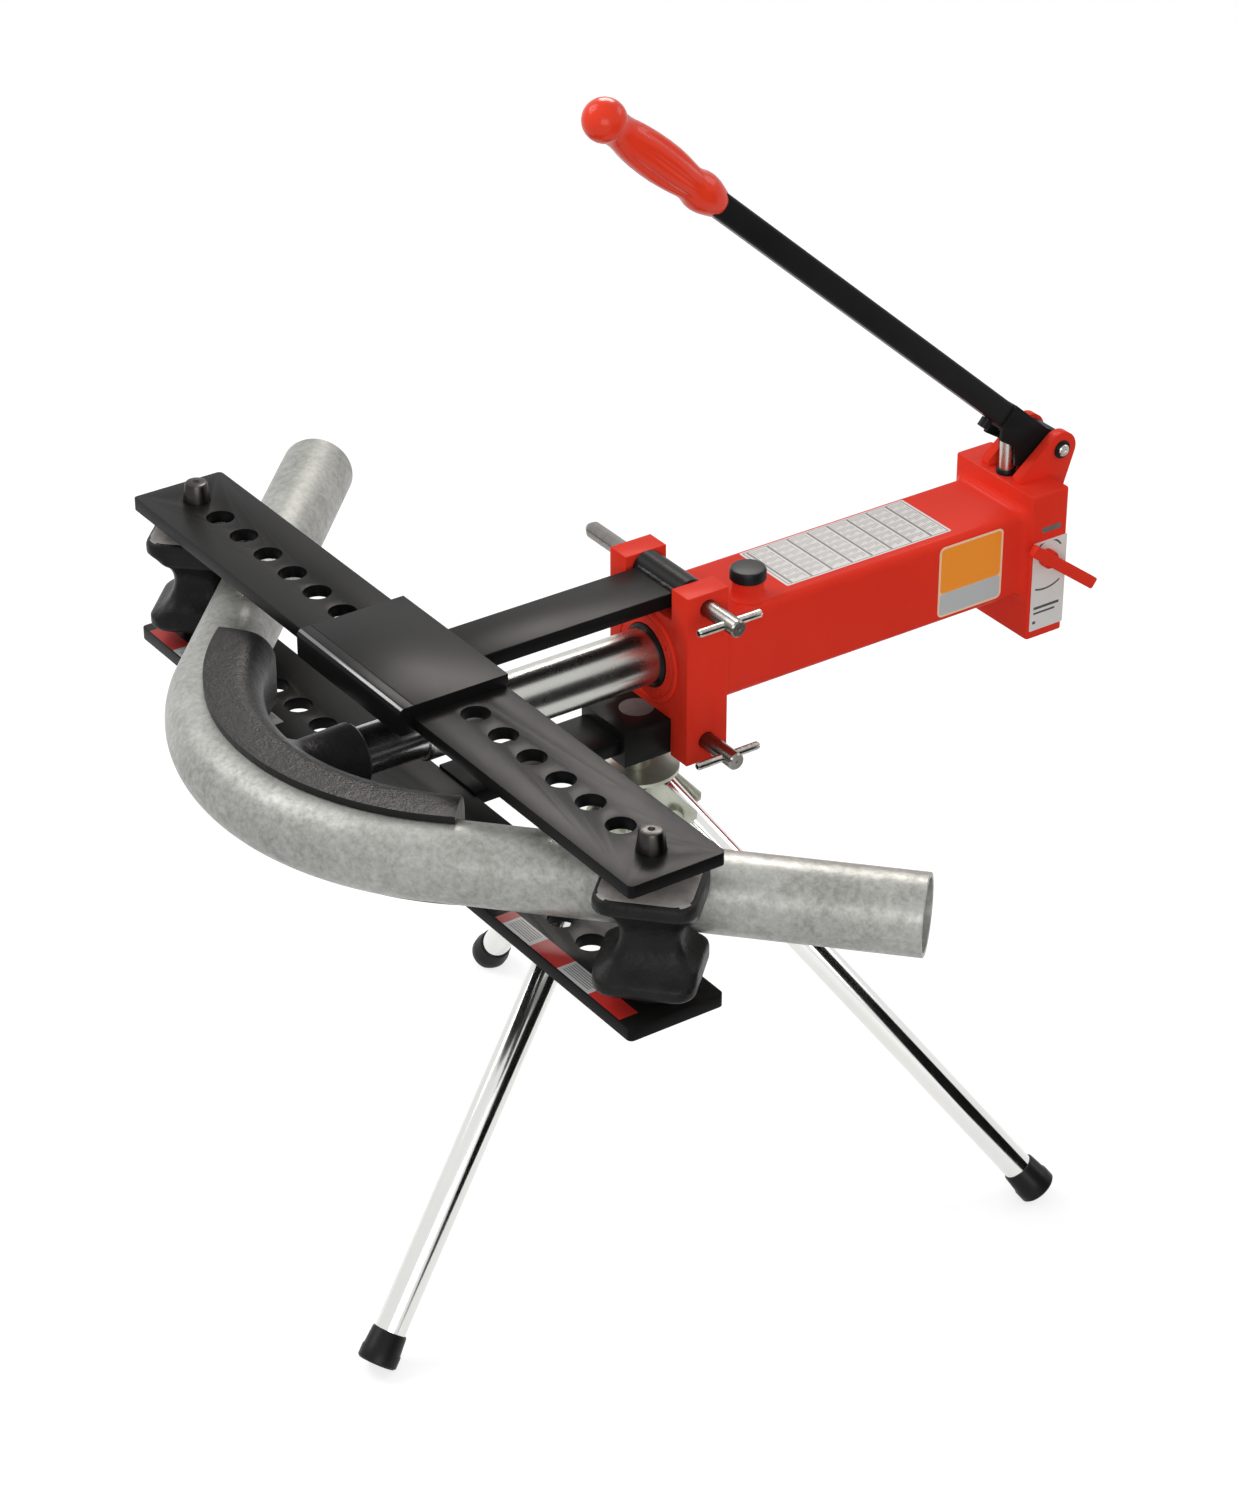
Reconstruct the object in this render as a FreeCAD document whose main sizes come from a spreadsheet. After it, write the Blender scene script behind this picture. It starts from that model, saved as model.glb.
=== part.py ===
"""Manual tube bender on a tripod, as a parametric FreeCAD document.

Frame: +Z up, floor at z = 0, the wings run along X, the tube is bent towards -Y and the pump is
at +Y.  Inside this file every place is written from the datum: the point where the ram's axis
crosses the line of roller-pin holes.  place() adds the height of that axis and the shift that puts
the origin at the bottom centre of the whole machine.

All driving sizes are cells of the sheet "Sizes" (millimetres and degrees).  Shapes are bound to
them by expressions; only rotations of slanted pieces are worked out here from the same cells.
"""
import math
import os
import re

import FreeCAD as App
import Part
import Sketcher

OUT = "parts"

# name: (value, what it is)
SIZES = {
    # whole machine
    "axis_height": (483.0, "ram axis above the floor"),
    "y_centre": (222.97, "datum to the middle of the machine's depth"),
    "gap_fit": (0.08, "radial clearance of a running fit"),
    "gap_skin": (0.3, "clearance between pieces that move past each other"),
    # tube being bent
    "tube_od": (60.3, "2 inch steel tube, outside diameter"),
    "tube_wall": (3.65, "tube wall"),
    "bend_radius": (222.0, "centreline radius of the bend"),
    "tube_angle": (46.3, "angle of each straight leg from +Y"),
    "tube_cross": (237.0, "where a leg's centreline crosses the hole line"),
    "tube_leg": (356.0, "straight leg beyond the bend"),
    # wing plates
    "wing_length": (692.0, "length of both wing plates"),
    "wing_width": (80.0, "width of both wing plates"),
    "wing_plate": (10.0, "wing plate thickness"),
    "wing_top": (63.4, "outer face of a wing plate from the ram axis"),
    "wing_round": (4.0, "corner radius of a wing plate"),
    "hole_pitch": (36.9, "pitch of the roller-pin holes"),
    "hole_first": (2.5, "first hole from the middle, in pitches"),
    "hole_rad": (11.2, "radius of a roller-pin hole"),
    # saddles welded over the wings
    "saddle_half": (72.0, "half length of a saddle"),
    "saddle_plate": (10.0, "saddle thickness"),
    "saddle_front": (12.0, "front bar of a saddle, ahead of the wing"),
    "saddle_back": (1.6, "saddle's overhang behind the wing"),
    "saddle_skirt": (2.2, "front bar past the wing's inner face"),
    "saddle_round": (5.0, "rounding of a saddle's front edge"),
    # arms and hinge
    "arm_half": (25.0, "half width of an arm"),
    "arm_plate": (12.2, "arm thickness"),
    "hinge_y": (235.0, "hinge pins behind the hole line"),
    "hinge_z": (58.0, "hinge pins above and below the ram axis"),
    "barrel_rad": (14.0, "hinge barrel radius"),
    "pin_rad": (7.0, "hinge pin radius"),
    "pin_far": (108.0, "hinge pin end on the far side"),
    "pin_near": (92.0, "hinge pin end on the near side"),
    "bar_x": (80.0, "cross bar of a hinge pin"),
    "bar_half": (29.0, "half length of a cross bar"),
    "bar_rad": (3.3, "cross bar radius"),
    # front flange
    "flange_front": (216.2, "front face of the flange"),
    "flange_depth": (38.0, "flange thickness"),
    "flange_half": (52.0, "half width of the flange"),
    "slot_half": (30.4, "half width of the ear slots"),
    "ear_top": (70.8, "top of the upper ears"),
    "ear_low": (75.6, "bottom of the lower ears, below the axis"),
    "slot_floor": (43.4, "floor of the ear slots from the axis"),
    # cylinder housing
    "housing_half": (41.6, "half width of the housing"),
    "housing_top": (38.4, "top of the housing"),
    "housing_low": (35.0, "bottom of the housing, below the axis"),
    "housing_wall": (5.0, "housing wall"),
    "housing_round": (7.0, "outer corner radius of the housing"),
    "liner_rad": (25.0, "bore radius of the cylinder"),
    "liner_wall": (5.0, "cylinder wall"),
    "gland_rad": (39.0, "gland nut radius"),
    "gland_proud": (2.0, "gland nut ahead of the flange"),
    "gland_seat": (12.0, "gland nut's depth in the flange"),
    "lip_depth": (6.0, "wiper's depth in the gland nut"),
    "lip_rad": (25.9, "outer radius of the wiper"),
    "throat_rad": (26.5, "bore through the flange behind the gland nut"),
    # ram
    "ram_rad": (22.5, "ram radius"),
    "ram_front": (6.0, "front shoulder of the ram"),
    "nose_rad": (19.0, "ram nose radius"),
    "nose_front": (-76.0, "front end of the ram nose"),
    "ram_core": (12.0, "radius of the hollow in the ram"),
    "ram_solid": (30.0, "solid length behind the ram's front shoulder"),
    "piston_back": (310.0, "rear face of the piston"),
    "piston_length": (26.0, "piston length"),
    "seal_back": (10.0, "seal groove ahead of the piston's rear face"),
    "seal_width": (6.0, "seal width"),
    "seal_deep": (4.0, "seal groove depth"),
    # bending former
    "former_in": (177.0, "inner radius of the former"),
    "former_half": (37.0, "half height of the former"),
    "former_angle": (48.7, "half angle of the former"),
    "former_round": (22.0, "rounding of the former's back"),
    "former_edge": (4.0, "rounding of the former's ends"),
    "hub_rad": (25.0, "former hub radius at the ram end"),
    "hub_root": (24.0, "former hub radius at the former"),
    "hub_end": (-47.0, "open end of the former hub"),
    # roller blocks
    "roller_half": (37.0, "half side of a roller block"),
    "roller_top": (40.0, "half height of a roller block"),
    "roller_round": (15.0, "corner radius of a roller block"),
    "roller_edge": (5.0, "rounding of a roller block's top and bottom outlines"),
    "roller_boss": (18.0, "radius of the boss under a roller block"),
    "roller_web": (22.4, "pin axis to the bottom of the tube groove"),
    "stub_proud": (16.0, "roller pin above the wing"),
    "stub_rad": (11.12, "roller pin radius"),
    "stub_low": (3.0, "roller pin below the lower wing"),
    "stub_tip": (8.6, "radius of a roller pin's tip"),
    "groove_2": (26.0, "groove radius of a roller block's second face"),
    "web_2": (20.0, "pin axis to the bottom of that groove"),
    "groove_3": (30.0, "groove radius of its third face"),
    "web_3": (18.0, "pin axis to the bottom of that groove"),
    "groove_4": (22.0, "groove radius of its fourth face"),
    "web_4": (24.0, "pin axis to the bottom of that groove"),
    # rear pump block
    "block_front": (555.0, "front face of the pump block"),
    "block_depth": (37.0, "pump block depth"),
    "block_half": (49.7, "half width of the pump block"),
    "block_top": (56.0, "top of the pump block"),
    "block_low": (73.0, "bottom of the pump block, below the axis"),
    "lug_in": (15.5, "inner face of a pump lug"),
    "lug_plate": (9.0, "pump lug thickness"),
    "pivot_y": (603.0, "handle pivot behind the hole line"),
    "pivot_z": (76.0, "handle pivot above the ram axis"),
    "lug_rad": (14.5, "radius of a lug's round end"),
    "bolt_rad": (5.0, "handle pivot bolt radius"),
    "bolt_cap": (8.0, "radius of the pivot bolt's head and nut"),
    "ring_rad": (8.4, "radius of the ring around the plunger"),
    "ring_height": (4.0, "height of the ring around the plunger"),
    "plunger_y": (567.0, "pump plunger behind the hole line"),
    "plunger_rad": (6.5, "pump plunger radius"),
    "plunger_low": (12.0, "bottom of the plunger above the ram axis"),
    "plunger_top": (95.0, "top of the plunger"),
    "plunger_eye": (90.0, "plunger's cross pin above the ram axis"),
    "cross_half": (9.8, "half length of the plunger's cross pin"),
    # handle
    "handle_tilt": (41.4, "handle above the horizontal"),
    "handle_side": (20.0, "side of the square handle tube"),
    "handle_wall": (2.0, "wall of the handle tube"),
    "handle_drop": (3.0, "tube's centre line below the pivot"),
    "socket_half": (11.6, "half width of the socket's fork"),
    "socket_wall": (0.6, "fork above the line of the handle tube's top"),
    "socket_sole": (0.4, "fork below the line of the handle tube's underside"),
    "socket_end": (90.0, "pivot to the end of the tongue inside the handle tube"),
    "boss_rad": (11.5, "boss around the pivot bolt"),
    "boss_half": (14.7, "half width of the boss"),
    "tube_start": (58.0, "pivot to the start of the handle tube"),
    "mouth_half": (7.8, "half width of the socket's plunger slot"),
    "track_rad": (3.8, "half width of the blind track for the plunger's cross pin"),
    "track_half": (10.0, "outer end of the blind tracks from the centre plane"),
    "track_tilt": (-20.15, "track below the handle's line, seen from the pivot"),
    "track_near": (37.0, "pivot to the near end of the track"),
    "track_far": (49.4, "pivot to the far end of the track"),
    "cross_rad": (2.0, "radius of the plunger's cross pin"),
    "grip_start": (433.0, "pivot to the grip's collar"),
    "grip_seat": (22.0, "handle tube's depth in the grip"),
    "ball_centre": (566.0, "pivot to the centre of the grip's ball"),
    "ball_rad": (16.8, "radius of the grip's ball"),
    "screw_z": (66.0, "clamp screw from the pivot along the handle"),
    "screw_rad": (3.0, "clamp screw radius"),
    "screw_deep": (6.0, "clamp screw's depth in the handle tube and the tongue"),
    "knob_rad": (4.8, "radius of the clamp screw's knob"),
    "knob_end": (21.5, "lower end of the knob from the pivot's line"),
    # release valve and filler
    "valve_y": (571.0, "release valve spindle behind the hole line"),
    "valve_z": (-1.0, "release valve spindle from the ram axis"),
    "valve_rad": (6.0, "release valve spindle radius"),
    "valve_deep": (14.0, "inner end of the spindle from the centre plane"),
    "lever_gap": (8.0, "release lever from the pump block's side"),
    "lever_plate": (6.0, "release lever thickness"),
    "lever_half": (5.0, "half width of the release lever"),
    "lever_back": (29.0, "release lever's short end"),
    "lever_front": (52.0, "release lever's long end"),
    "lever_seat": (4.0, "depth of the spindle in the lever"),
    "tang_rad": (3.6, "radius of the spindle in the lever"),
    "lever_drop": (37.0, "release lever below the horizontal"),
    "filler_x": (23.5, "filler neck off the centre line"),
    "filler_y": (293.0, "filler neck behind the hole line"),
    "neck_rad": (12.2, "filler neck radius"),
    "neck_bore": (7.5, "filler neck bore radius"),
    "neck_height": (15.0, "filler neck height"),
    "neck_root": (15.6, "radius of the filler neck's foot"),
    "neck_flare": (4.0, "height of the filler neck's foot"),
    "cap_rad": (14.4, "filler cap radius"),
    "cap_height": (10.0, "filler cap height"),
    # tripod
    "tripod_y": (205.2, "tripod centre behind the hole line"),
    "apex_z": (-91.5, "point where the legs' axes meet"),
    "leg_splay": (40.9, "legs from the vertical"),
    "leg_azimuth": (-71.7, "bearing of the first leg from +X"),
    "leg_rad": (12.5, "leg tube radius"),
    "leg_wall": (1.5, "leg tube wall"),
    "leg_start": (28.0, "upper end of a leg from the apex"),
    "leg_end": (508.0, "foot end of a leg from the apex"),
    "leg_pivot": (50.0, "leg bolt from the apex"),
    "channel_sheet": (2.5, "thickness of the folded tripod channels"),
    "channel_gap": (0.7, "leg to channel cheek"),
    "leg_bolt": (4.0, "leg bolt radius"),
    "bolt_head": (6.5, "leg bolt head and nut radius"),
    "foot_rad": (16.0, "rubber foot radius"),
    "foot_sole": (6.0, "rubber under the end of the leg"),
    "foot_deep": (27.0, "length of a rubber foot"),
    "block_arm_front": (174.0, "front of the lower hinge block"),
    "block_arm_low": (73.5, "bottom of the lower hinge block"),
    "hub_z": (-94.0, "top of the tripod's hub plate"),
    "hub_disc": (34.0, "radius of the tripod's hub plate"),
    "hub_plate": (3.0, "thickness of the tripod's hub plate"),
    "stud_rad": (10.0, "tripod stud radius"),
    "stud_head": (13.7, "radius of the tripod stud's head"),
    "stud_flat": (1.8, "thickness of the tripod stud's head"),
    "nut_rad": (14.0, "tripod nut radius"),
    "nut_height": (8.0, "tripod nut height"),
    "spacer_rad": (11.0, "radius of the spacer under the lower block"),
}

doc = App.newDocument("TubeBender")
sheet = doc.addObject("Spreadsheet::Sheet", "Sizes")
for row, (alias, (amount, note)) in enumerate(SIZES.items(), start=1):
    sheet.set(f"A{row}", note)
    sheet.set(f"B{row}", str(amount))
    sheet.setAlias(f"B{row}", alias)
doc.recompute()

WORD = re.compile(r"[a-z_]+")
MATHS = {"sin", "cos", "tan", "sqrt"}
PARTS = {}


def bound(text):
    """An expression with every alias written as a cell of the sheet."""
    return WORD.sub(lambda m: m[0] if m[0] in MATHS else f"Sizes.{m[0]}", str(text))


def bind(obj, **sizes):
    """Bind properties of an object to expressions of the sheet."""
    for prop, text in sizes.items():
        obj.setExpression(prop, bound(text))
    return obj


def value(alias):
    """A driving size as a number, for rotations."""
    return getattr(sheet, alias)


def place(obj, x=0, y=0, z=0, turn=None):
    """Put an object at datum coordinates; turn is an App.Rotation."""
    if turn is not None:
        obj.Placement = App.Placement(App.Vector(), turn)
    obj.setExpression("Placement.Base.x", bound(x))
    obj.setExpression("Placement.Base.y", bound(f"({y}) - y_centre"))
    obj.setExpression("Placement.Base.z", bound(f"({z}) + axis_height"))
    return obj


def local(obj, x=0, y=0, z=0, turn=None):
    """Put an object in the local frame of the piece that it is combined into."""
    if turn is not None:
        obj.Placement = App.Placement(App.Vector(), turn)
    for axis, text in zip("xyz", (x, y, z)):
        obj.setExpression(f"Placement.Base.{axis}", bound(text))
    return obj


ALONG = {
    "x": App.Rotation(App.Vector(0, 1, 0), 90),
    "y": App.Rotation(App.Vector(1, 0, 0), -90),
    "z": App.Rotation(),
}


def box(name, xs, ys, zs, put=place):
    """A box between two corners, each coordinate an expression."""
    obj = bind(doc.addObject("Part::Box", name), Length=f"({xs[1]}) - ({xs[0]})",
               Width=f"({ys[1]}) - ({ys[0]})", Height=f"({zs[1]}) - ({zs[0]})")
    return put(obj, xs[0], ys[0], zs[0])


def rod(name, radius, axis, span, x=0, y=0, z=0, put=place):
    """A cylinder along one axis, from span[0] to span[1] on it."""
    start = {"x": x, "y": y, "z": z}
    start[axis] = span[0]
    obj = bind(doc.addObject("Part::Cylinder", name), Radius=radius, Height=f"({span[1]}) - ({span[0]})")
    return put(obj, start["x"], start["y"], start["z"], ALONG[axis])


def cone(name, radii, axis, span, x=0, y=0, z=0, put=place):
    """A cone frustum along one axis, radii at the two ends of its span."""
    start = {"x": x, "y": y, "z": z}
    start[axis] = span[0]
    obj = bind(doc.addObject("Part::Cone", name), Radius1=radii[0], Radius2=radii[1],
               Height=f"({span[1]}) - ({span[0]})")
    return put(obj, start["x"], start["y"], start["z"], ALONG[axis])


def fuse(name, *pieces):
    """One solid out of several."""
    obj = doc.addObject("Part::MultiFuse", name)
    obj.Shapes = list(pieces)
    obj.Refine = True
    return obj


def cut(name, base, *tools):
    """A solid with other solids taken out of it."""
    obj = doc.addObject("Part::Cut", name)
    obj.Base = base
    obj.Tool = tools[0] if len(tools) == 1 else fuse(name + "_tools", *tools)
    obj.Refine = True
    return obj


def rounded(name, base, radius, chosen):
    """Fillet the edges for which chosen(edge, box of the whole shape) is true."""
    doc.recompute()
    whole = base.Shape.BoundBox
    numbers = [i for i, edge in enumerate(base.Shape.Edges, start=1) if chosen(edge, whole)]
    obj = doc.addObject("Part::Fillet", name)
    obj.Base = base
    obj.Edges = [(i, radius, radius) for i in numbers]
    return obj


def keep(label, obj):
    """Register a finished sub-part under its node name."""
    obj.Label = label
    PARTS[label] = obj
    return obj


def straight(edge, axis):
    """True for a straight edge along x, y or z (0, 1 or 2)."""
    if not isinstance(edge.Curve, Part.Line):
        return False
    return abs(abs(edge.Curve.Direction[axis]) - 1) < 1e-6


def upright(edge, _whole):
    """Every edge along Z."""
    return straight(edge, 2)


def level(edge, whole):
    """True for the outline of the top and bottom faces."""
    box_z = (edge.BoundBox.ZMin, edge.BoundBox.ZMax)
    return any(abs(box_z[0] - z) < 0.01 and abs(box_z[1] - z) < 0.01 for z in (whole.ZMin, whole.ZMax))


def profile(body, role, points):
    """A closed sketch on one of the body's own planes; points are pairs of expressions."""
    plane = next(f for f in body.Origin.OriginFeatures if f.Role == role)
    sketch = body.newObject("Sketcher::SketchObject", body.Name + "_outline")
    sketch.AttachmentSupport = (plane, "")
    sketch.MapMode = "FlatFace"
    count = len(points)
    ring = [App.Vector(50 * math.cos(2 * math.pi * i / count), 50 * math.sin(2 * math.pi * i / count), 0)
            for i in range(count)]
    for i in range(count):
        sketch.addGeometry(Part.LineSegment(ring[i], ring[(i + 1) % count]), False)
    for i in range(count):
        sketch.addConstraint(Sketcher.Constraint("Coincident", i, 2, (i + 1) % count, 1))
    for i, (across, up) in enumerate(points):
        for kind, start, text in (("DistanceX", ring[i].x, across), ("DistanceY", ring[i].y, up)):
            number = sketch.addConstraint(Sketcher.Constraint(kind, -1, 1, i, 1, start))
            sketch.setExpression(f"Constraints[{number}]", bound(text))
    return sketch


def padded(name, role, points, thickness):
    """A body padded from one polygon, along its plane's normal."""
    body = doc.addObject("PartDesign::Body", name)
    sketch = profile(body, role, points)
    doc.recompute()
    pad = body.newObject("PartDesign::Pad", name + "_pad")
    pad.Profile = sketch
    bind(pad, Length=thickness)
    body.Tip = pad
    return body


def circle_sketch(body, role, x, y, radius):
    """A sketch that holds one circle, on one of the body's own planes."""
    plane = next(f for f in body.Origin.OriginFeatures if f.Role == role)
    sketch = body.newObject("Sketcher::SketchObject", body.Name + "_circle")
    sketch.AttachmentSupport = (plane, "")
    sketch.MapMode = "FlatFace"
    sketch.addGeometry(Part.Circle(App.Vector(60, 10, 0), App.Vector(0, 0, 1), 5), False)
    for kind, args, text in (("Radius", (0, 5.0), radius), ("DistanceX", (-1, 1, 0, 3, 60.0), x),
                             ("DistanceY", (-1, 1, 0, 3, 10.0), y)):
        number = sketch.addConstraint(Sketcher.Constraint(kind, *args))
        sketch.setExpression(f"Constraints[{number}]", bound(text))
    return sketch


# ---------------------------------------------------------------- cylinder, flange and gland

def make_housing():
    """Square oil-reservoir tube around the cylinder, with the filler neck's hole."""
    back = "flange_front + flange_depth"
    outer = box("housing_outer", ("-housing_half", "housing_half"), (back, "block_front"),
                ("-housing_low", "housing_top"))
    outer = rounded("housing_rounded", outer, value("housing_round"), lambda e, _w: straight(e, 1))
    room = box("housing_room", ("-housing_half + housing_wall", "housing_half - housing_wall"),
               (back, "block_front"), ("-housing_low + housing_wall", "housing_top - housing_wall"))
    neck = rod("housing_neck", "neck_bore", "z", ("housing_top - housing_wall - 1", "housing_top + 1"),
               "filler_x", "filler_y")
    keep("housing", cut("housing_cut", outer, room, neck))
    liner = rod("liner_outer", "liner_rad + liner_wall", "y", (back, "block_front"))
    bore = rod("liner_bore", "liner_rad", "y", (back, "block_front"))
    keep("liner", cut("liner_cut", liner, bore))


def make_flange():
    """H-shaped front plate: a slot between two ears at the top and at the bottom."""
    body = padded("flange_body", "XZ_Plane", [
        ("-flange_half", "-ear_low"), ("-slot_half", "-ear_low"), ("-slot_half", "-slot_floor"),
        ("slot_half", "-slot_floor"), ("slot_half", "-ear_low"), ("flange_half", "-ear_low"),
        ("flange_half", "ear_top"), ("slot_half", "ear_top"), ("slot_half", "slot_floor"),
        ("-slot_half", "slot_floor"), ("-slot_half", "ear_top"), ("-flange_half", "ear_top")],
        "flange_depth")
    place(body, 0, "flange_front + flange_depth", 0)
    recess = rod("flange_recess", "gland_rad", "y", ("flange_front - 1", "flange_front + gland_seat"))
    throat = rod("flange_throat", "throat_rad", "y", ("flange_front", "flange_front + flange_depth + 1"))
    holes = [rod(f"flange_pin_{side}", "pin_rad + gap_fit", "x", ("-flange_half - 1", "flange_half + 1"),
                 0, "hinge_y", f"{sign}hinge_z") for side, sign in (("up", ""), ("low", "-"))]
    keep("flange", cut("flange_cut", body, recess, throat, *holes))
    nut = rod("gland_nut", "gland_rad", "y", ("flange_front - gland_proud", "flange_front + gland_seat"))
    seat = rod("gland_room", "lip_rad", "y", ("flange_front - gland_proud - 1", "flange_front + lip_depth"))
    hole = rod("gland_hole", "ram_rad + gap_fit", "y", ("flange_front", "flange_front + gland_seat + 1"))
    keep("gland", cut("gland_cut", nut, seat, hole))
    lip = rod("wiper_lip", "lip_rad", "y", ("flange_front - 2 * gland_proud", "flange_front + lip_depth"))
    bore = rod("wiper_bore", "ram_rad + gap_fit", "y", ("flange_front - 3 * gland_proud",
                                                        "flange_front + lip_depth + 1"))
    keep("wiper", cut("wiper_cut", lip, bore))


def make_filler():
    """Filler neck welded on the housing, and its screw cap with a dip stem."""
    tube = rod("neck_outer", "neck_rad", "z", ("housing_top", "housing_top + neck_height"),
               "filler_x", "filler_y")
    foot = cone("neck_foot", ("neck_root", "neck_rad"), "z", ("housing_top", "housing_top + neck_flare"),
                "filler_x", "filler_y")
    neck = fuse("neck_whole", tube, foot)
    bore = rod("neck_room", "neck_bore", "z", ("housing_top - 1", "housing_top + neck_height + 1"),
               "filler_x", "filler_y")
    keep("filler_neck", cut("neck_cut", neck, bore))
    seat = "housing_top + neck_height + gap_skin"
    head = rod("cap_head", "cap_rad", "z", (seat, f"{seat} + cap_height"), "filler_x", "filler_y")
    head = rounded("cap_round", head, 1.5, lambda e, w: e.BoundBox.ZMin > w.ZMax - 0.1 and e.Length > 30)
    stem = rod("cap_stem", "neck_bore - gap_fit", "z", ("housing_top + 1", seat), "filler_x", "filler_y")
    keep("filler_cap", fuse("cap", head, stem))


# ---------------------------------------------------------------- wings, saddles and arms

def make_wing(name, bottom):
    """A wing plate with seven pin holes on each side of the saddle; bottom is its lower face."""
    body = padded(name + "_body", "XY_Plane", [
        ("-wing_length / 2", "-wing_width / 2"), ("wing_length / 2", "-wing_width / 2"),
        ("wing_length / 2", "wing_width / 2"), ("-wing_length / 2", "wing_width / 2")], "wing_plate")
    for side in (-1, 1):
        sketch = circle_sketch(body, "XY_Plane", f"{side} * hole_first * hole_pitch", 0, "hole_rad")
        pocket = body.newObject("PartDesign::Pocket", f"{name}_hole_{side + 1}")
        pocket.Profile = sketch
        pocket.Type = "ThroughAll"
        pocket.Reversed = True
        row = body.newObject("PartDesign::LinearPattern", f"{name}_row_{side + 1}")
        row.Originals = [pocket]
        row.Direction = (sketch, ["H_Axis"])
        row.Reversed = side < 0
        row.Occurrences = 7
        bind(row, Length="6 * hole_pitch")
        body.Tip = row
    doc.recompute()
    place(body, 0, 0, bottom)

    def corner(edge, whole):
        return straight(edge, 2) and abs(abs(edge.BoundBox.XMin) - whole.XMax) < 0.1
    return keep(name, rounded(name + "_round", body, value("wing_round"), corner))


def make_saddle(name, up):
    """The saddle over a wing: a cover plate with a bar down its front; up is "" or "-"."""
    def heights(low, high):
        return (low, high) if up == "" else (f"-({high})", f"-({low})")
    span = ("-saddle_half", "saddle_half")
    cover = box(name + "_cover", span, ("-wing_width / 2 - saddle_front", "wing_width / 2 + saddle_back"),
                heights("wing_top", "wing_top + saddle_plate"))
    front = box(name + "_front", span, ("-wing_width / 2 - saddle_front", "-wing_width / 2"),
                heights("wing_top - wing_plate - saddle_skirt", "wing_top"))
    whole = fuse(name + "_whole", cover, front)

    def outer_front(edge, whole_box):
        outer = whole_box.ZMax if up == "" else whole_box.ZMin
        box_ = edge.BoundBox
        return straight(edge, 0) and box_.YMax < whole_box.YMin + 0.1 and abs(box_.ZMin - outer) < 0.1
    return keep(name, rounded(name + "_round", whole, value("saddle_round"), outer_front))


def make_upper_frame():
    """Swing-up frame: wing, saddle, arm and hinge barrel."""
    make_wing("upper_wing", "wing_top - wing_plate")
    make_saddle("upper_saddle", "")
    bar = box("upper_arm_bar", ("-arm_half", "arm_half"), ("wing_width / 2", "hinge_y"),
              ("wing_top - arm_plate", "wing_top"))
    sweep = rod("upper_arm_end", "barrel_rad", "x", ("-slot_half", "slot_half"), 0, "hinge_y", "hinge_z")
    keep("upper_arm", cut("upper_arm_cut", bar, sweep))
    tube = rod("barrel_outer", "barrel_rad", "x", ("-slot_half + 0.8", "slot_half - 0.8"),
               0, "hinge_y", "hinge_z")
    bore = rod("barrel_bore", "pin_rad + gap_fit", "x", ("-slot_half", "slot_half"), 0, "hinge_y", "hinge_z")
    keep("upper_barrel", cut("barrel_cut", tube, bore))


def make_lower_frame():
    """Fixed frame under the tube: wing, saddle, arm and the block that carries the tripod."""
    make_wing("lower_wing", "-wing_top")
    make_saddle("lower_saddle", "-")
    keep("lower_arm", box("lower_arm_bar", ("-arm_half", "arm_half"), ("wing_width / 2", "block_arm_front"),
                          ("-wing_top", "arm_plate - wing_top")))
    solid = box("block_solid", ("-slot_half + 0.8", "slot_half - 0.8"),
                ("block_arm_front", "hinge_y + barrel_rad"), ("-block_arm_low", "-slot_floor"))
    pin = rod("block_pin", "pin_rad + gap_fit", "x", ("-slot_half", "slot_half"), 0, "hinge_y", "-hinge_z")
    stud = rod("block_stud", "stud_rad", "z", ("-block_arm_low - 1", "-slot_floor"), 0, "tripod_y")
    recess = rod("block_recess", "stud_head", "z", ("-slot_floor - stud_flat", "-slot_floor + 1"), 0, "tripod_y")
    keep("lower_block", cut("lower_block_cut", solid, pin, stud, recess))


def make_hinge_pin(name, up):
    """A hinge pin with a chamfered far end, and the cross bar through its near end."""
    height = f"{up}hinge_z"
    shaft = rod(name + "_shaft", "pin_rad", "x", ("-pin_far + 6", "pin_near"), 0, "hinge_y", height)
    tip = cone(name + "_tip", ("pin_rad - 3", "pin_rad"), "x", ("-pin_far", "-pin_far + 6"),
               0, "hinge_y", height)
    hole = rod(name + "_eye", "bar_rad", "y", ("hinge_y - 10", "hinge_y + 10"), "bar_x", 0, height)
    keep(name, cut(name + "_cut", fuse(name + "_whole", shaft, tip), hole))
    keep(name + "_bar", rod(name + "_rod", "bar_rad", "y", ("hinge_y - bar_half", "hinge_y + bar_half"),
                            "bar_x", 0, height))


# ---------------------------------------------------------------- ram, former and tube

def make_ram():
    """Hollow ram with its reduced nose, piston and seal; the rest pose is the full stroke."""
    bar = rod("ram_bar", "ram_rad", "y", ("ram_front", "piston_back - piston_length"))
    core = rod("ram_room", "ram_core", "y", ("ram_front + ram_solid", "piston_back"))
    keep("ram", cut("ram_cut", bar, core))
    keep("ram_nose", rod("nose_bar", "nose_rad", "y", ("nose_front", "ram_front")))
    head = rod("piston_head", "liner_rad - gap_fit", "y", ("piston_back - piston_length", "piston_back"))
    front, back = "piston_back - seal_back - seal_width", "piston_back - seal_back"
    ring = rod("piston_ring", "liner_rad - gap_fit", "y", (front, back))
    root = rod("piston_root", "liner_rad - seal_deep", "y", (f"{front} - 1", f"{back} + 1"))
    keep("piston", cut("piston_cut", head, cut("piston_groove", ring, root)))
    seal = rod("seal_outer", "liner_rad - gap_fit", "y", (front, back))
    hole = rod("seal_hole", "liner_rad - seal_deep", "y", (f"{front} - 1", f"{back} + 1"))
    keep("piston_seal", cut("seal_cut", seal, hole))


BEND_Y = "(bend_radius - tube_cross * cos(tube_angle)) / sin(tube_angle)"


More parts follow.
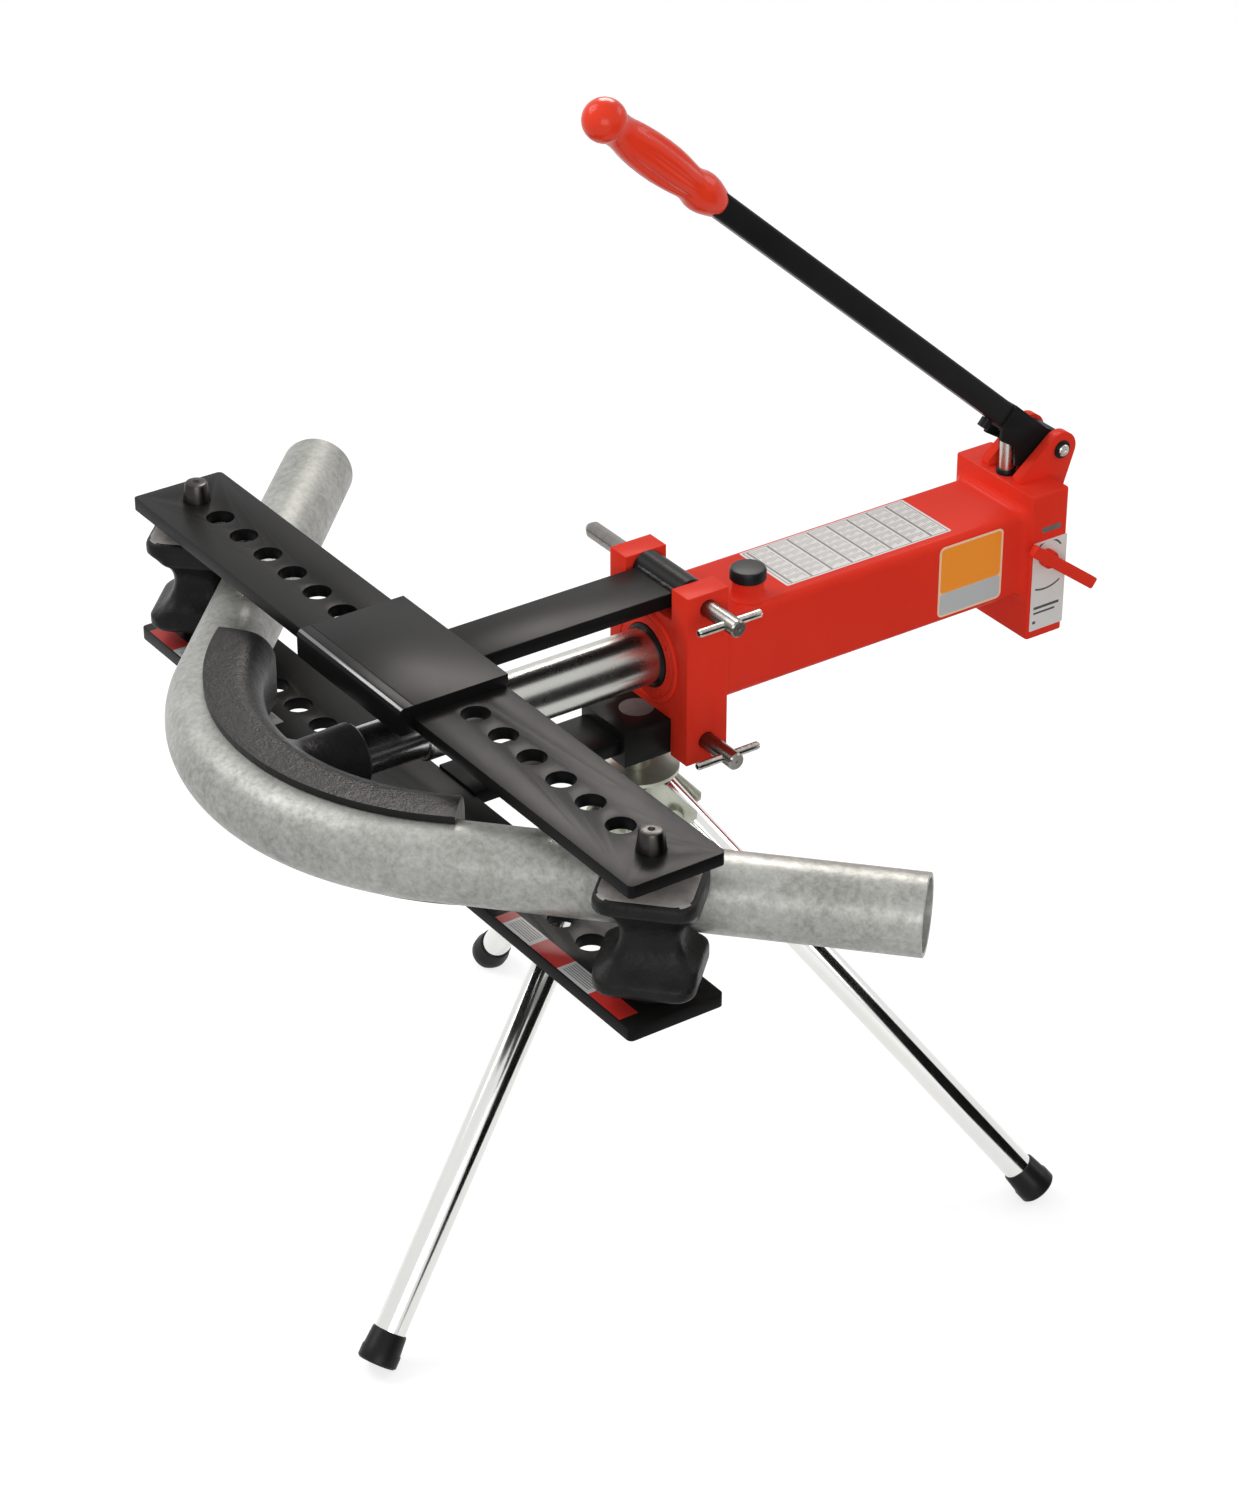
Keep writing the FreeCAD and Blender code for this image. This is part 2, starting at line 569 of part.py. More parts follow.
def make_former():
    """Cast bending former: a grooved arc with a conical hub that sits on the ram nose."""
    body = doc.addObject("PartDesign::Body", "former_body")
    outline = profile(body, "XZ_Plane", [
        ("former_in", "-former_half"), ("bend_radius", "-former_half"), ("bend_radius", "former_half"),
        ("former_in", "former_half")])
    doc.recompute()
    arc = body.newObject("PartDesign::Revolution", "former_arc")
    arc.Profile = outline
    arc.ReferenceAxis = (outline, ["V_Axis"])
    bind(arc, Angle="2 * former_angle")
    body.Tip = arc
    doc.recompute()
    channel = body.newObject("PartDesign::Groove", "former_channel")
    channel.Profile = circle_sketch(body, "XZ_Plane", "bend_radius", 0, "tube_od / 2 + gap_skin / 2")
    channel.ReferenceAxis = (channel.Profile[0], ["V_Axis"])
    channel.Angle = 360
    body.Tip = channel
    doc.recompute()
    forward = arc.Shape.BoundBox.Center
    bearing = math.degrees(math.atan2(forward.y, forward.x))
    place(body, 0, BEND_Y, 0, App.Rotation(App.Vector(0, 0, 1), -90 - bearing))

    def back(edge, _whole):
        return isinstance(edge.Curve, Part.Circle) and abs(edge.Curve.Radius - value("former_in")) < 0.1

    def end(edge, _whole):
        return not isinstance(edge.Curve, Part.Circle) and edge.Length < 2 * value("former_half")
    shaped = rounded("former_back", body, value("former_round"), back)
    shaped = rounded("former_ends", shaped, value("former_edge"), end)
    hub = cone("hub_cone", ("hub_root", "hub_rad"), "y", (f"{BEND_Y} - former_in - 5", "hub_end"))
    socket = rod("hub_socket", "nose_rad", "y", ("nose_front", "hub_end + 1"))
    keep("former", cut("former_cut", fuse("former_whole", shaped, hub), socket))


def make_tube():
    """The bent steel tube: a torus arc and two straight legs, bored through."""
    tilt = value("tube_angle")

    def solid(name, radius):
        arc = doc.addObject("Part::Torus", name + "_arc")
        bind(arc, Radius1="bend_radius", Radius2=radius, Angle3="2 * (90 - tube_angle)")
        place(arc, 0, BEND_Y, 0, App.Rotation(App.Vector(0, 0, 1), 180 + tilt))
        legs = []
        for side in (-1, 1):
            leg = bind(doc.addObject("Part::Cylinder", f"{name}_leg_{side + 1}"), Radius=radius,
                       Height="tube_leg")
            turn = App.Rotation(App.Vector(0, 0, 1), App.Vector(side * math.sin(math.radians(tilt)),
                                                                math.cos(math.radians(tilt)), 0))
            legs.append(place(leg, f"{side} * bend_radius * cos(tube_angle)",
                              f"{BEND_Y} - bend_radius * sin(tube_angle)", 0, turn))
        return fuse(name, arc, *legs)
    keep("bent_tube", cut("tube_cut", solid("tube_outer", "tube_od / 2"),
                          solid("tube_inner", "tube_od / 2 - tube_wall")))


# ---------------------------------------------------------------- roller blocks

# groove radius and the pin axis to groove bottom, for the four faces of a block; the first is
# the face that holds the tube and the others take smaller tubes
GROOVES = (("tube_od / 2 + gap_skin / 2", "roller_web"), ("groove_2", "web_2"), ("groove_3", "web_3"),
           ("groove_4", "web_4"))


def make_roller(side):
    """A four-sided roller block on its pin; side is +1 at +X and -1 at -X.

    The block's middle is level with the tube, and a boss under it stands on the lower wing.
    """
    name = "right" if side > 0 else "left"
    away = f"{side} * (hole_first + 6) * hole_pitch"
    square = box(f"roller_{name}_square", ("-roller_half", "roller_half"), ("-roller_half", "roller_half"),
                 ("-roller_top", "roller_top"), local)
    square = rounded(f"roller_{name}_round", square, value("roller_round"), upright)
    square = rounded(f"roller_{name}_edge", square, value("roller_edge"), level)
    tools = [rod(f"roller_{name}_bore", "stub_rad", "z", ("-wing_top", "roller_top + 1"), 0, 0, 0, local)]
    for i, (radius, web) in enumerate(GROOVES):
        axis = "y" if i % 2 == 0 else "x"
        sign = "-" if i < 2 else ""
        offset = f"{sign}({radius} + {web})"
        x, y = (offset, 0) if axis == "y" else (0, offset)
        tools.append(rod(f"roller_{name}_groove_{i}", radius, axis, ("-roller_half - 5", "roller_half + 5"),
                         x, y, 0, local))
    foot = rod(f"roller_{name}_foot", "roller_boss", "z", ("-wing_top + wing_plate + gap_skin", "0"), 0, 0, 0,
               local)
    core = cut(f"roller_{name}_core", square, *tools[1:])
    block = cut(f"roller_{name}_cut", fuse(f"roller_{name}_cast", core, foot), tools[0])
    facing = App.Rotation(App.Vector(0, 0, 1), -value("tube_angle") if side > 0
                          else 180 + value("tube_angle"))
    place(block, away, 0, 0, facing)
    keep(f"roller_{name}", block)
    shank = rod(f"stub_{name}_shank", "stub_rad", "z", ("-wing_top - stub_low", "wing_top"), away)
    tip = cone(f"stub_{name}_tip", ("stub_rad", "stub_tip"), "z", ("wing_top", "wing_top + stub_proud"), away)
    keep(f"roller_pin_{name}", fuse(f"stub_{name}", shank, tip))


# ---------------------------------------------------------------- pump block, handle and valve

def make_pump():
    """Rear block with the plunger bore, valve bore, pivot lugs, gland ring and pivot bolt."""
    solid = box("block_solid_rear", ("-block_half", "block_half"),
                ("block_front", "block_front + block_depth"), ("-block_low", "block_top"))
    solid = rounded("block_rounded", solid, 3.0, lambda e, w: straight(e, 2))
    well = rod("block_well", "plunger_rad + gap_fit", "z", (-5, "block_top + 1"), 0, "plunger_y")
    valve = rod("block_valve", "valve_rad + gap_fit", "x", ("valve_deep - 6", "block_half + 1"),
                0, "valve_y", "valve_z")
    port = rod("block_port", 4, "y", ("block_front - 1", "plunger_y"), 0, 0, 8)
    keep("pump_block", cut("block_cut", solid, well, valve, port))
    ring = rod("pump_ring", "ring_rad", "z", ("block_top", "block_top + ring_height"), 0, "plunger_y")
    hole = rod("pump_hole", "plunger_rad + gap_fit", "z", ("block_top - 1", "block_top + ring_height + 1"),
               0, "plunger_y")
    keep("pump_gland", cut("pump_gland_cut", ring, hole))
    back = "block_front + block_depth"
    for name, start in (("left", "-lug_in - lug_plate"), ("right", "lug_in")):
        plate = padded(f"lug_{name}_plate", "YZ_Plane", [
            ("block_front + 6", "block_top"), (back, "block_top"), (back, "block_top - 18"),
            (f"{back} + 13", "block_top - 18"), ("pivot_y + lug_rad * 0.94", "pivot_z - lug_rad * 0.34"),
            ("pivot_y", "pivot_z + lug_rad"), ("pivot_y - lug_rad * 0.64", "pivot_z + lug_rad * 0.77"),
            ("block_front + 6", "block_top + 5")], "lug_plate")
        place(plate, start, 0, 0)
        head = rod(f"lug_{name}_head", "lug_rad", "x", (start, f"{start} + lug_plate"), 0, "pivot_y", "pivot_z")
        hole = rod(f"lug_{name}_hole", "bolt_rad + gap_fit", "x", (f"{start} - 1", f"{start} + lug_plate + 1"),
                   0, "pivot_y", "pivot_z")
        keep(f"pump_lug_{name}", cut(f"lug_{name}_cut", fuse(f"lug_{name}", plate, head), hole))
    outer = "lug_in + lug_plate"
    shaft = rod("pivot_shaft", "bolt_rad", "x", (f"-({outer}) - 6", f"{outer} + 3"), 0, "pivot_y", "pivot_z")
    heads = [rod("pivot_head", "bolt_cap", "x", (f"{outer} + 0.2", f"{outer} + 4"), 0, "pivot_y", "pivot_z"),
             rod("pivot_nut", "bolt_cap", "x", (f"-({outer}) - 7", f"-({outer}) - 0.2"), 0, "pivot_y", "pivot_z")]
    keep("pivot_bolt", fuse("pivot", shaft, *heads))


def make_plunger():
    """Pump plunger and the cross pin in its top."""
    bar = rod("plunger_bar", "plunger_rad", "z", ("plunger_low", "plunger_top"), 0, "plunger_y")
    eye = rod("plunger_hole", "cross_rad", "x", ("-cross_half", "cross_half"), 0, "plunger_y", "plunger_eye")
    keep("plunger", cut("plunger_cut", bar, eye))
    keep("plunger_pin", rod("plunger_pin_bar", "cross_rad", "x", ("-cross_half", "cross_half"),
                            0, "plunger_y", "plunger_eye"))


def make_handle():
    """Handle: a forked socket on the pivot, a square tube and a turned grip.

    The pieces are made along +Z from the pivot and then laid over by the handle's tilt.
    """
    lean = App.Rotation(App.Vector(1, 0, 0), 90 - value("handle_tilt"))
    pivot = ("0", "pivot_y", "pivot_z")
    side, middle = "handle_side / 2", "-handle_drop"
    low, high = f"{middle} - {side} - socket_sole", f"{middle} + {side} + socket_wall"

    def square(name, trim, span):
        return box(name, (f"-{side} + {trim}", f"{side} - {trim}"),
                   (f"{middle} - {side} + {trim}", f"{middle} + {side} - {trim}"), span, local)

    # two cheeks beside the plunger, closed behind it by the boss and ahead of it by a web, with a
    # tongue that the handle tube slides over
    cheeks = padded("socket_cheeks", "YZ_Plane", [
        ("boss_rad - 0.5", "-2"), (high, "14"), (high, "tube_start"), (low, "tube_start"), (low, "56"),
        ("-22.5", "50"), ("-19.5", "31"), ("-31", "19"), ("-22", "1"), ("-8", "-9")], "2 * socket_half")
    local(cheeks, "-socket_half")
    boss = rod("socket_boss", "boss_rad", "x", ("-boss_half", "boss_half"), 0, 0, 0, local)
    mouth = box("socket_mouth", ("-mouth_half", "mouth_half"), ("-60", "6"), ("14", "tube_start - 3"), local)
    throat = box("socket_throat", ("-mouth_half", "mouth_half"), ("-60", "-12"), ("-12", "tube_start - 3"),
                 local)
    tongue = square("socket_tongue", "handle_wall", ("tube_start - 2", "socket_end"))
    hole = rod("socket_hole", "bolt_rad + gap_fit", "x", ("-boss_half - 1", "boss_half + 1"), 0, 0, 0, local)
    # blind tracks: the plunger's cross pin runs along the line from the pivot through its rest place
    track = [rod(f"socket_track_{i}", "track_rad", "x", ("-track_half", "track_half"), 0,
                 f"{reach} * sin(track_tilt)", f"{reach} * cos(track_tilt)", local)
             for i, reach in enumerate(("track_near", "track_far"))]
    lane = bind(doc.addObject("Part::Box", "socket_lane"), Length="2 * track_half", Width="2 * track_rad",
                Height="track_far - track_near")
    turned_lane = App.Rotation(App.Vector(1, 0, 0), -value("track_tilt"))
    local(lane, "-track_half", "track_near * sin(track_tilt) - track_rad * cos(track_tilt)",
          "track_near * cos(track_tilt) + track_rad * sin(track_tilt)", turned_lane)
    tip = f"{middle} - {side} + screw_deep"
    screw = rod("socket_screw", "screw_rad", "y", ("-20", tip), 0, 0, "screw_z", local)
    socket = cut("socket_cut", fuse("socket_whole", boss, cheeks, tongue), mouth, throat, hole, *track, lane,
                 screw)
    keep("handle_socket", place(socket, *pivot, lean))

    tube = rounded("tube_rounded", square("tube_square", 0, ("tube_start", "grip_start + grip_seat")), 2.5,
                   upright)
    room = square("tube_room", "handle_wall", ("tube_start - 1", "grip_start + grip_seat + 1"))
    tap = rod("tube_tap", "screw_rad", "y", ("-20", tip), 0, 0, "screw_z", local)
    keep("handle_tube", place(cut("tube_hollow", tube, room, tap), *pivot, lean))

    # collar, body, waist and neck of the turned grip: (from grip_start, radius); then its ball
    turned = ((0, 11.4), (18, 15.7), (32, 13.6), (54, 16.4), (97, 16.4), (114, 12.8), (127, 13))
    stack = [cone(f"grip_{i}", (radius, turned[i + 1][1]), "z",
                  (f"grip_start + {start}", f"grip_start + {turned[i + 1][0]}"), 0, middle, 0, local)
             for i, (start, radius) in enumerate(turned[:-1])]
    ball = bind(doc.addObject("Part::Sphere", "grip_ball"), Radius="ball_rad")
    stack.append(local(ball, 0, middle, "ball_centre"))
    seat = square("grip_room", 0, ("grip_start - 1", "grip_start + grip_seat"))
    keep("handle_grip", place(cut("grip_cut", fuse("grip_whole", *stack), seat), *pivot, lean))

    shank = rod("screw_shank", "screw_rad", "y", ("-knob_end + 1", tip), 0, 0, "screw_z", local)
    knob = rod("screw_knob", "knob_rad", "y", ("-knob_end", f"{low} - gap_skin"), 0, 0, "screw_z", local)
    keep("handle_screw", place(fuse("screw", shank, knob), *pivot, lean))


def make_valve():
    """Release valve: the spindle in the pump block and its flat lever."""
    outer = "block_half + lever_gap"
    shank = rod("spindle_bar", "valve_rad", "x", ("valve_deep", f"{outer}"), 0, "valve_y", "valve_z")
    tang = rod("spindle_tang", "tang_rad", "x", (f"{outer}", f"{outer} + lever_seat"), 0, "valve_y", "valve_z")
    keep("valve_spindle", fuse("spindle", shank, tang))
    lever = box("lever_bar", ("0", "lever_plate"), ("-lever_back", "lever_front"),
                ("-lever_half", "lever_half"), local)
    lever = rounded("lever_round", lever, 2.0, lambda e, _w: straight(e, 0))
    hole = rod("lever_hole", "tang_rad", "x", ("-1", "lever_seat"), 0, 0, 0, local)
    turned = App.Rotation(App.Vector(1, 0, 0), -value("lever_drop"))
    keep("valve_lever", place(cut("lever_cut", lever, hole), outer, "valve_y", "valve_z", turned))


# ---------------------------------------------------------------- tripod

def make_tripod_head():
    """Stud through the lower block, spacer and hub plate."""
    def column(name, radius, low, high):
        return rod(name, radius, "z", (low, high), 0, "tripod_y")
    under = "hub_z - hub_plate"
    head = column("stud_cap", "stud_head", "-slot_floor - stud_flat", "-slot_floor")
    shank = column("stud_shank", "stud_rad", f"{under} - nut_height - 1", "-slot_floor - stud_flat")
    keep("tripod_stud", fuse("stud", head, shank))
    collar = column("spacer_outer", "spacer_rad", "hub_z", "-block_arm_low")
    bore = column("spacer_bore", "stud_rad", "hub_z - 1", "-block_arm_low + 1")
    keep("tripod_spacer", cut("spacer_cut", collar, bore))
    disc = column("hub_plate_disc", "hub_disc", under, "hub_z")
    eye = column("hub_eye", "stud_rad", f"{under} - 1", "hub_z + 1")
    keep("tripod_hub", cut("hub_cut", disc, eye))
    nut = column("nut_outer", "nut_rad", f"{under} - nut_height", under)
    hole = column("nut_hole", "stud_rad", f"{under} - nut_height - 1", f"{under} + 1")
    keep("tripod_nut", cut("nut_cut", nut, hole))


def leg_frame(number):
    """Rotation of one leg: local +Z runs down the leg and local +X faces its underside."""
    bearing = value("leg_azimuth") + 120 * number
    return (App.Rotation(App.Vector(0, 0, 1), bearing)
            * App.Rotation(App.Vector(0, 1, 0), 180 - value("leg_splay")))


def make_leg(number):
    """Folded channel, bolt, chromed tube and rubber foot of one leg."""
    turn = leg_frame(number)
    name = str(number + 1)
    apex = ("0", "tripod_y", "apex_z")
    wide = "leg_rad + channel_gap"
    # channel: cheeks on both sides of the leg, a floor under its inner end only
    cheek_outline = [("15.6", "9.6"), ("18", "12.3"), ("20", "9.8"), ("59", "14.8"), ("63", "11"),
                     ("63", "-16"), ("33.5", "-16"), ("15", "0")]
    cheeks = []
    for side, start in ((0, f"-({wide}) - channel_sheet"), (1, wide)):
        plate = padded(f"channel_{name}_{side}", "XZ_Plane", [(f"-({n})", s) for s, n in cheek_outline],
                       "channel_sheet")
        cheeks.append(local(plate, 0, f"{start} + channel_sheet", 0))
    floor = box(f"channel_{name}_floor", ("16 - channel_sheet", "16"),
                (f"-({wide}) - channel_sheet", f"{wide} + channel_sheet"),
                ("34", "42"), local)
    holes = rod(f"channel_{name}_hole", "leg_bolt", "y", ("-20", "20"), 0, 0, "leg_pivot", local)
    channel = cut(f"channel_{name}_cut", fuse(f"channel_{name}_whole", *cheeks, floor), holes)
    keep(f"leg_channel_{name}", place(channel, *apex, turn))

    outside = f"{wide} + channel_sheet"
    shank = rod(f"bolt_{name}_shank", "leg_bolt", "y", ("-19.5", "21"), 0, 0, "leg_pivot", local)
    head = rod(f"bolt_{name}_head", "bolt_head", "y", (f"-({outside}) - 4.5", f"-({outside})"),
               0, 0, "leg_pivot", local)
    nut = rod(f"bolt_{name}_nut", "bolt_head", "y", (outside, f"{outside} + 4"), 0, 0, "leg_pivot", local)
    keep(f"leg_bolt_{name}", place(fuse(f"bolt_{name}", shank, head, nut), *apex, turn))

    sole = "leg_end - foot_sole"
    tube = rod(f"leg_{name}_outer", "leg_rad", "z", ("leg_start", sole), 0, 0, 0, local)
    room = rod(f"leg_{name}_room", "leg_rad - leg_wall", "z", ("leg_start - 1", f"{sole} + 1"), 0, 0, 0, local)
    eye = rod(f"leg_{name}_eye", "leg_bolt + gap_fit", "y", ("-20", "20"), 0, 0, "leg_pivot", local)
    keep(f"leg_{name}", place(cut(f"leg_{name}_cut", tube, room, eye), *apex, turn))

    rubber = cone(f"foot_{name}_rubber", ("foot_rad - 2", "foot_rad"), "z", ("leg_end - foot_deep", "leg_end"),
                  0, 0, 0, local)
    pocket = rod(f"foot_{name}_pocket", "leg_rad", "z", ("leg_end - foot_deep - 1", sole), 0, 0, 0, local)
    foot = place(cut(f"foot_{name}_cut", rubber, pocket), *apex, turn)
    below = box(f"foot_{name}_floor", ("-600", "600"), ("-400", "900"), ("-axis_height - 50", "-axis_height"))
    keep(f"foot_{name}", cut(f"foot_{name}_flat", foot, below))


def main():
    """Build every sub-part, check it and write its STEP file."""
    make_housing()
    make_flange()
    make_filler()
    make_upper_frame()
    make_lower_frame()
    for name, up in (("upper_pin", ""), ("lower_pin", "-")):
        make_hinge_pin(name, up)
    make_ram()
    make_former()
    make_tube()
    for side in (1, -1):
        make_roller(side)
    make_pump()
    make_plunger()
    make_handle()
    make_valve()
    make_tripod_head()
    for number in range(3):
        make_leg(number)
    doc.recompute()

    broken = [o.Name for o in doc.Objects if "Invalid" in o.State or "Error" in o.State]
    broken += [label for label, obj in PARTS.items() if obj.Shape.isNull() or not obj.Shape.isValid()]
    broken += [label for label, obj in PARTS.items() if len(obj.Shape.Solids) != 1]
    if broken:
        raise RuntimeError(f"failed: {broken}")
    os.makedirs(OUT, exist_ok=True)
    for label, obj in PARTS.items():
        obj.Shape.exportStep(os.path.join(OUT, label + ".step"))
    print(len(PARTS), "sub-parts written")


main()
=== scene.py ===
"""Looks of a hand-pumped hydraulic tube bender on a folding tripod.

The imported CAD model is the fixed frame.  Every class below holds the sizes of one sub-assembly in
millimetres, measured from the datum: the point where the ram's axis crosses the line of roller
holes (+X along the wings, +Y back along the cylinder, +Z up).  The Datum class turns them into
metres of the frame.
"""
from __future__ import annotations

import logging
import math
from dataclasses import dataclass, field
from enum import Enum
from typing import Callable, Iterable, Sequence

import bmesh
import bpy
from bmesh.types import BMesh
from mathutils import Matrix, Vector

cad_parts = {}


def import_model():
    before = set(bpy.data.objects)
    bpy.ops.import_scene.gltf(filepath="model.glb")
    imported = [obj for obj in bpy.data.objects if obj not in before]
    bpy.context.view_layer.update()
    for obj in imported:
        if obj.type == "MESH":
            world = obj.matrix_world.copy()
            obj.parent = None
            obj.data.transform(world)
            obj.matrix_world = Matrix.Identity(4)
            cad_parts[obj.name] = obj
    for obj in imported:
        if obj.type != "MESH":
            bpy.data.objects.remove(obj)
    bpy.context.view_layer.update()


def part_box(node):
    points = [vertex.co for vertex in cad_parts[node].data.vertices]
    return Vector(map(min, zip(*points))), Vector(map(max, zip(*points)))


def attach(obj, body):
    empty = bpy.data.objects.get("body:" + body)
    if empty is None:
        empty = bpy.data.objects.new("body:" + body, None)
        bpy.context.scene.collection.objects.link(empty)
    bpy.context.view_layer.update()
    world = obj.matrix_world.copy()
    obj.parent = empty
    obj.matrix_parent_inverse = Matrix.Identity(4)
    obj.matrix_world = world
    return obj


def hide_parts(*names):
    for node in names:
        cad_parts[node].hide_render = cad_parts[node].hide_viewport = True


LOG = logging.getLogger("tube_bender")
Point = tuple[float, float]
Colour = tuple[float, float, float]
Span = tuple[float, float]


# ------------------------------------------------------------------ shader node groups

class Sockets(Enum):
    """Socket types used by the shared node groups."""

    VALUE = "NodeSocketFloat"
    COLOUR = "NodeSocketColor"
    VECTOR = "NodeSocketVector"


class GroupBuilder:
    """Builds one shader node group with named inputs and outputs."""

    def __init__(self, name: str) -> None:
        """Start an empty group.

        Args:
            name: the group's name, also the effect's name.
        """
        self.tree = bpy.data.node_groups.new(name, "ShaderNodeTree")
        self.entry = self.tree.nodes.new("NodeGroupInput")
        self.exit = self.tree.nodes.new("NodeGroupOutput")

    def input(self, name: str, kind: Sockets, value: float | Sequence[float]) -> None:
        """Add an input socket with a default value.

        Args:
            name: the socket's name.
            kind: the socket's type.
            value: its default.
        """
        socket = self.tree.interface.new_socket(name=name, in_out="INPUT", socket_type=kind.value)
        socket.default_value = value

    def output(self, name: str, kind: Sockets, source: bpy.types.NodeSocket) -> None:
        """Add an output socket and feed it.

        Args:
            name: the socket's name.
            kind: the socket's type.
            source: the socket that feeds it.
        """
        self.tree.interface.new_socket(name=name, in_out="OUTPUT", socket_type=kind.value)
        self.tree.links.new(source, self.exit.inputs[name])

    def node(self, kind: str, **settings: object) -> bpy.types.Node:
        """Add a node and set its properties.

        Args:
            kind: the node's type name.
            **settings: property values.

        Returns:
            The new node.
        """
        node = self.tree.nodes.new(kind)
        for key, value in settings.items():
            setattr(node, key, value)
        return node

    def join(self, source: bpy.types.NodeSocket, target: bpy.types.NodeSocket) -> None:
        """Link two sockets of the group."""
        self.tree.links.new(source, target)

    def noise(self, vector: bpy.types.NodeSocket, scale: bpy.types.NodeSocket | float,
              detail: float = 4.0, rough: float = 0.55) -> bpy.types.NodeSocket:
        """Add a noise texture.

        Args:
            vector: coordinates.
            scale: a number or a socket.
            detail: octaves.
            rough: how strong the finer octaves are.

        Returns:
            The factor socket.
        """
        node = self.node("ShaderNodeTexNoise")
        self.join(vector, node.inputs["Vector"])
        if isinstance(scale, (int, float)):
            node.inputs["Scale"].default_value = scale
        else:
            self.join(scale, node.inputs["Scale"])
        node.inputs["Detail"].default_value = detail
        node.inputs["Roughness"].default_value = rough
        return node.outputs["Fac"]

    def ramp(self, source: bpy.types.NodeSocket, low: float, high: float, to_low: float = 0.0,
             to_high: float = 1.0) -> bpy.types.NodeSocket:
        """Map a value from one range to another, clamped.

        Args:
            source: the value.
            low: where the range starts.
            high: where it ends.
            to_low: the result at its start.
            to_high: the result at its end.

        Returns:
            The mapped value's socket.
        """
        node = self.node("ShaderNodeMapRange")
        self.join(source, node.inputs["Value"])
        for key, value in (("From Min", low), ("From Max", high), ("To Min", to_low), ("To Max", to_high)):
            node.inputs[key].default_value = value
        return node.outputs["Result"]

    def maths(self, operation: str, first: bpy.types.NodeSocket | float,
              second: bpy.types.NodeSocket | float, clamp: bool = False) -> bpy.types.NodeSocket:
        """Add a math node.

        Args:
            operation: Blender's name for it.
            first: a number or a socket.
            second: a number or a socket.
            clamp: keep the result between 0 and 1.

        Returns:
            The result's socket.
        """
        node = self.node("ShaderNodeMath", operation=operation, use_clamp=clamp)
        for index, value in enumerate((first, second)):
            if isinstance(value, (int, float)):
                node.inputs[index].default_value = value
            else:
                self.join(value, node.inputs[index])
        return node.outputs[0]

    def mix(self, factor: bpy.types.NodeSocket, first: bpy.types.NodeSocket,
            second: bpy.types.NodeSocket) -> bpy.types.NodeSocket:
        """Mix two colours.

        Args:
            factor: 0 gives the first, 1 the second.
            first: a colour.
            second: a colour.

        Returns:
            The mixed colour's socket.
        """
        node = self.node("ShaderNodeMix", data_type="RGBA")
        self.join(factor, node.inputs[0])
        self.join(first, node.inputs[6])
        self.join(second, node.inputs[7])
        return node.outputs[2]


class Effect(Enum):
    """Shared surface effects, each one a node group."""

    SMUDGE = "smudge"
    GRAIN = "grain"
    SCRATCH = "scratch"
    SPANGLE = "spangle"
    WEAR = "wear"


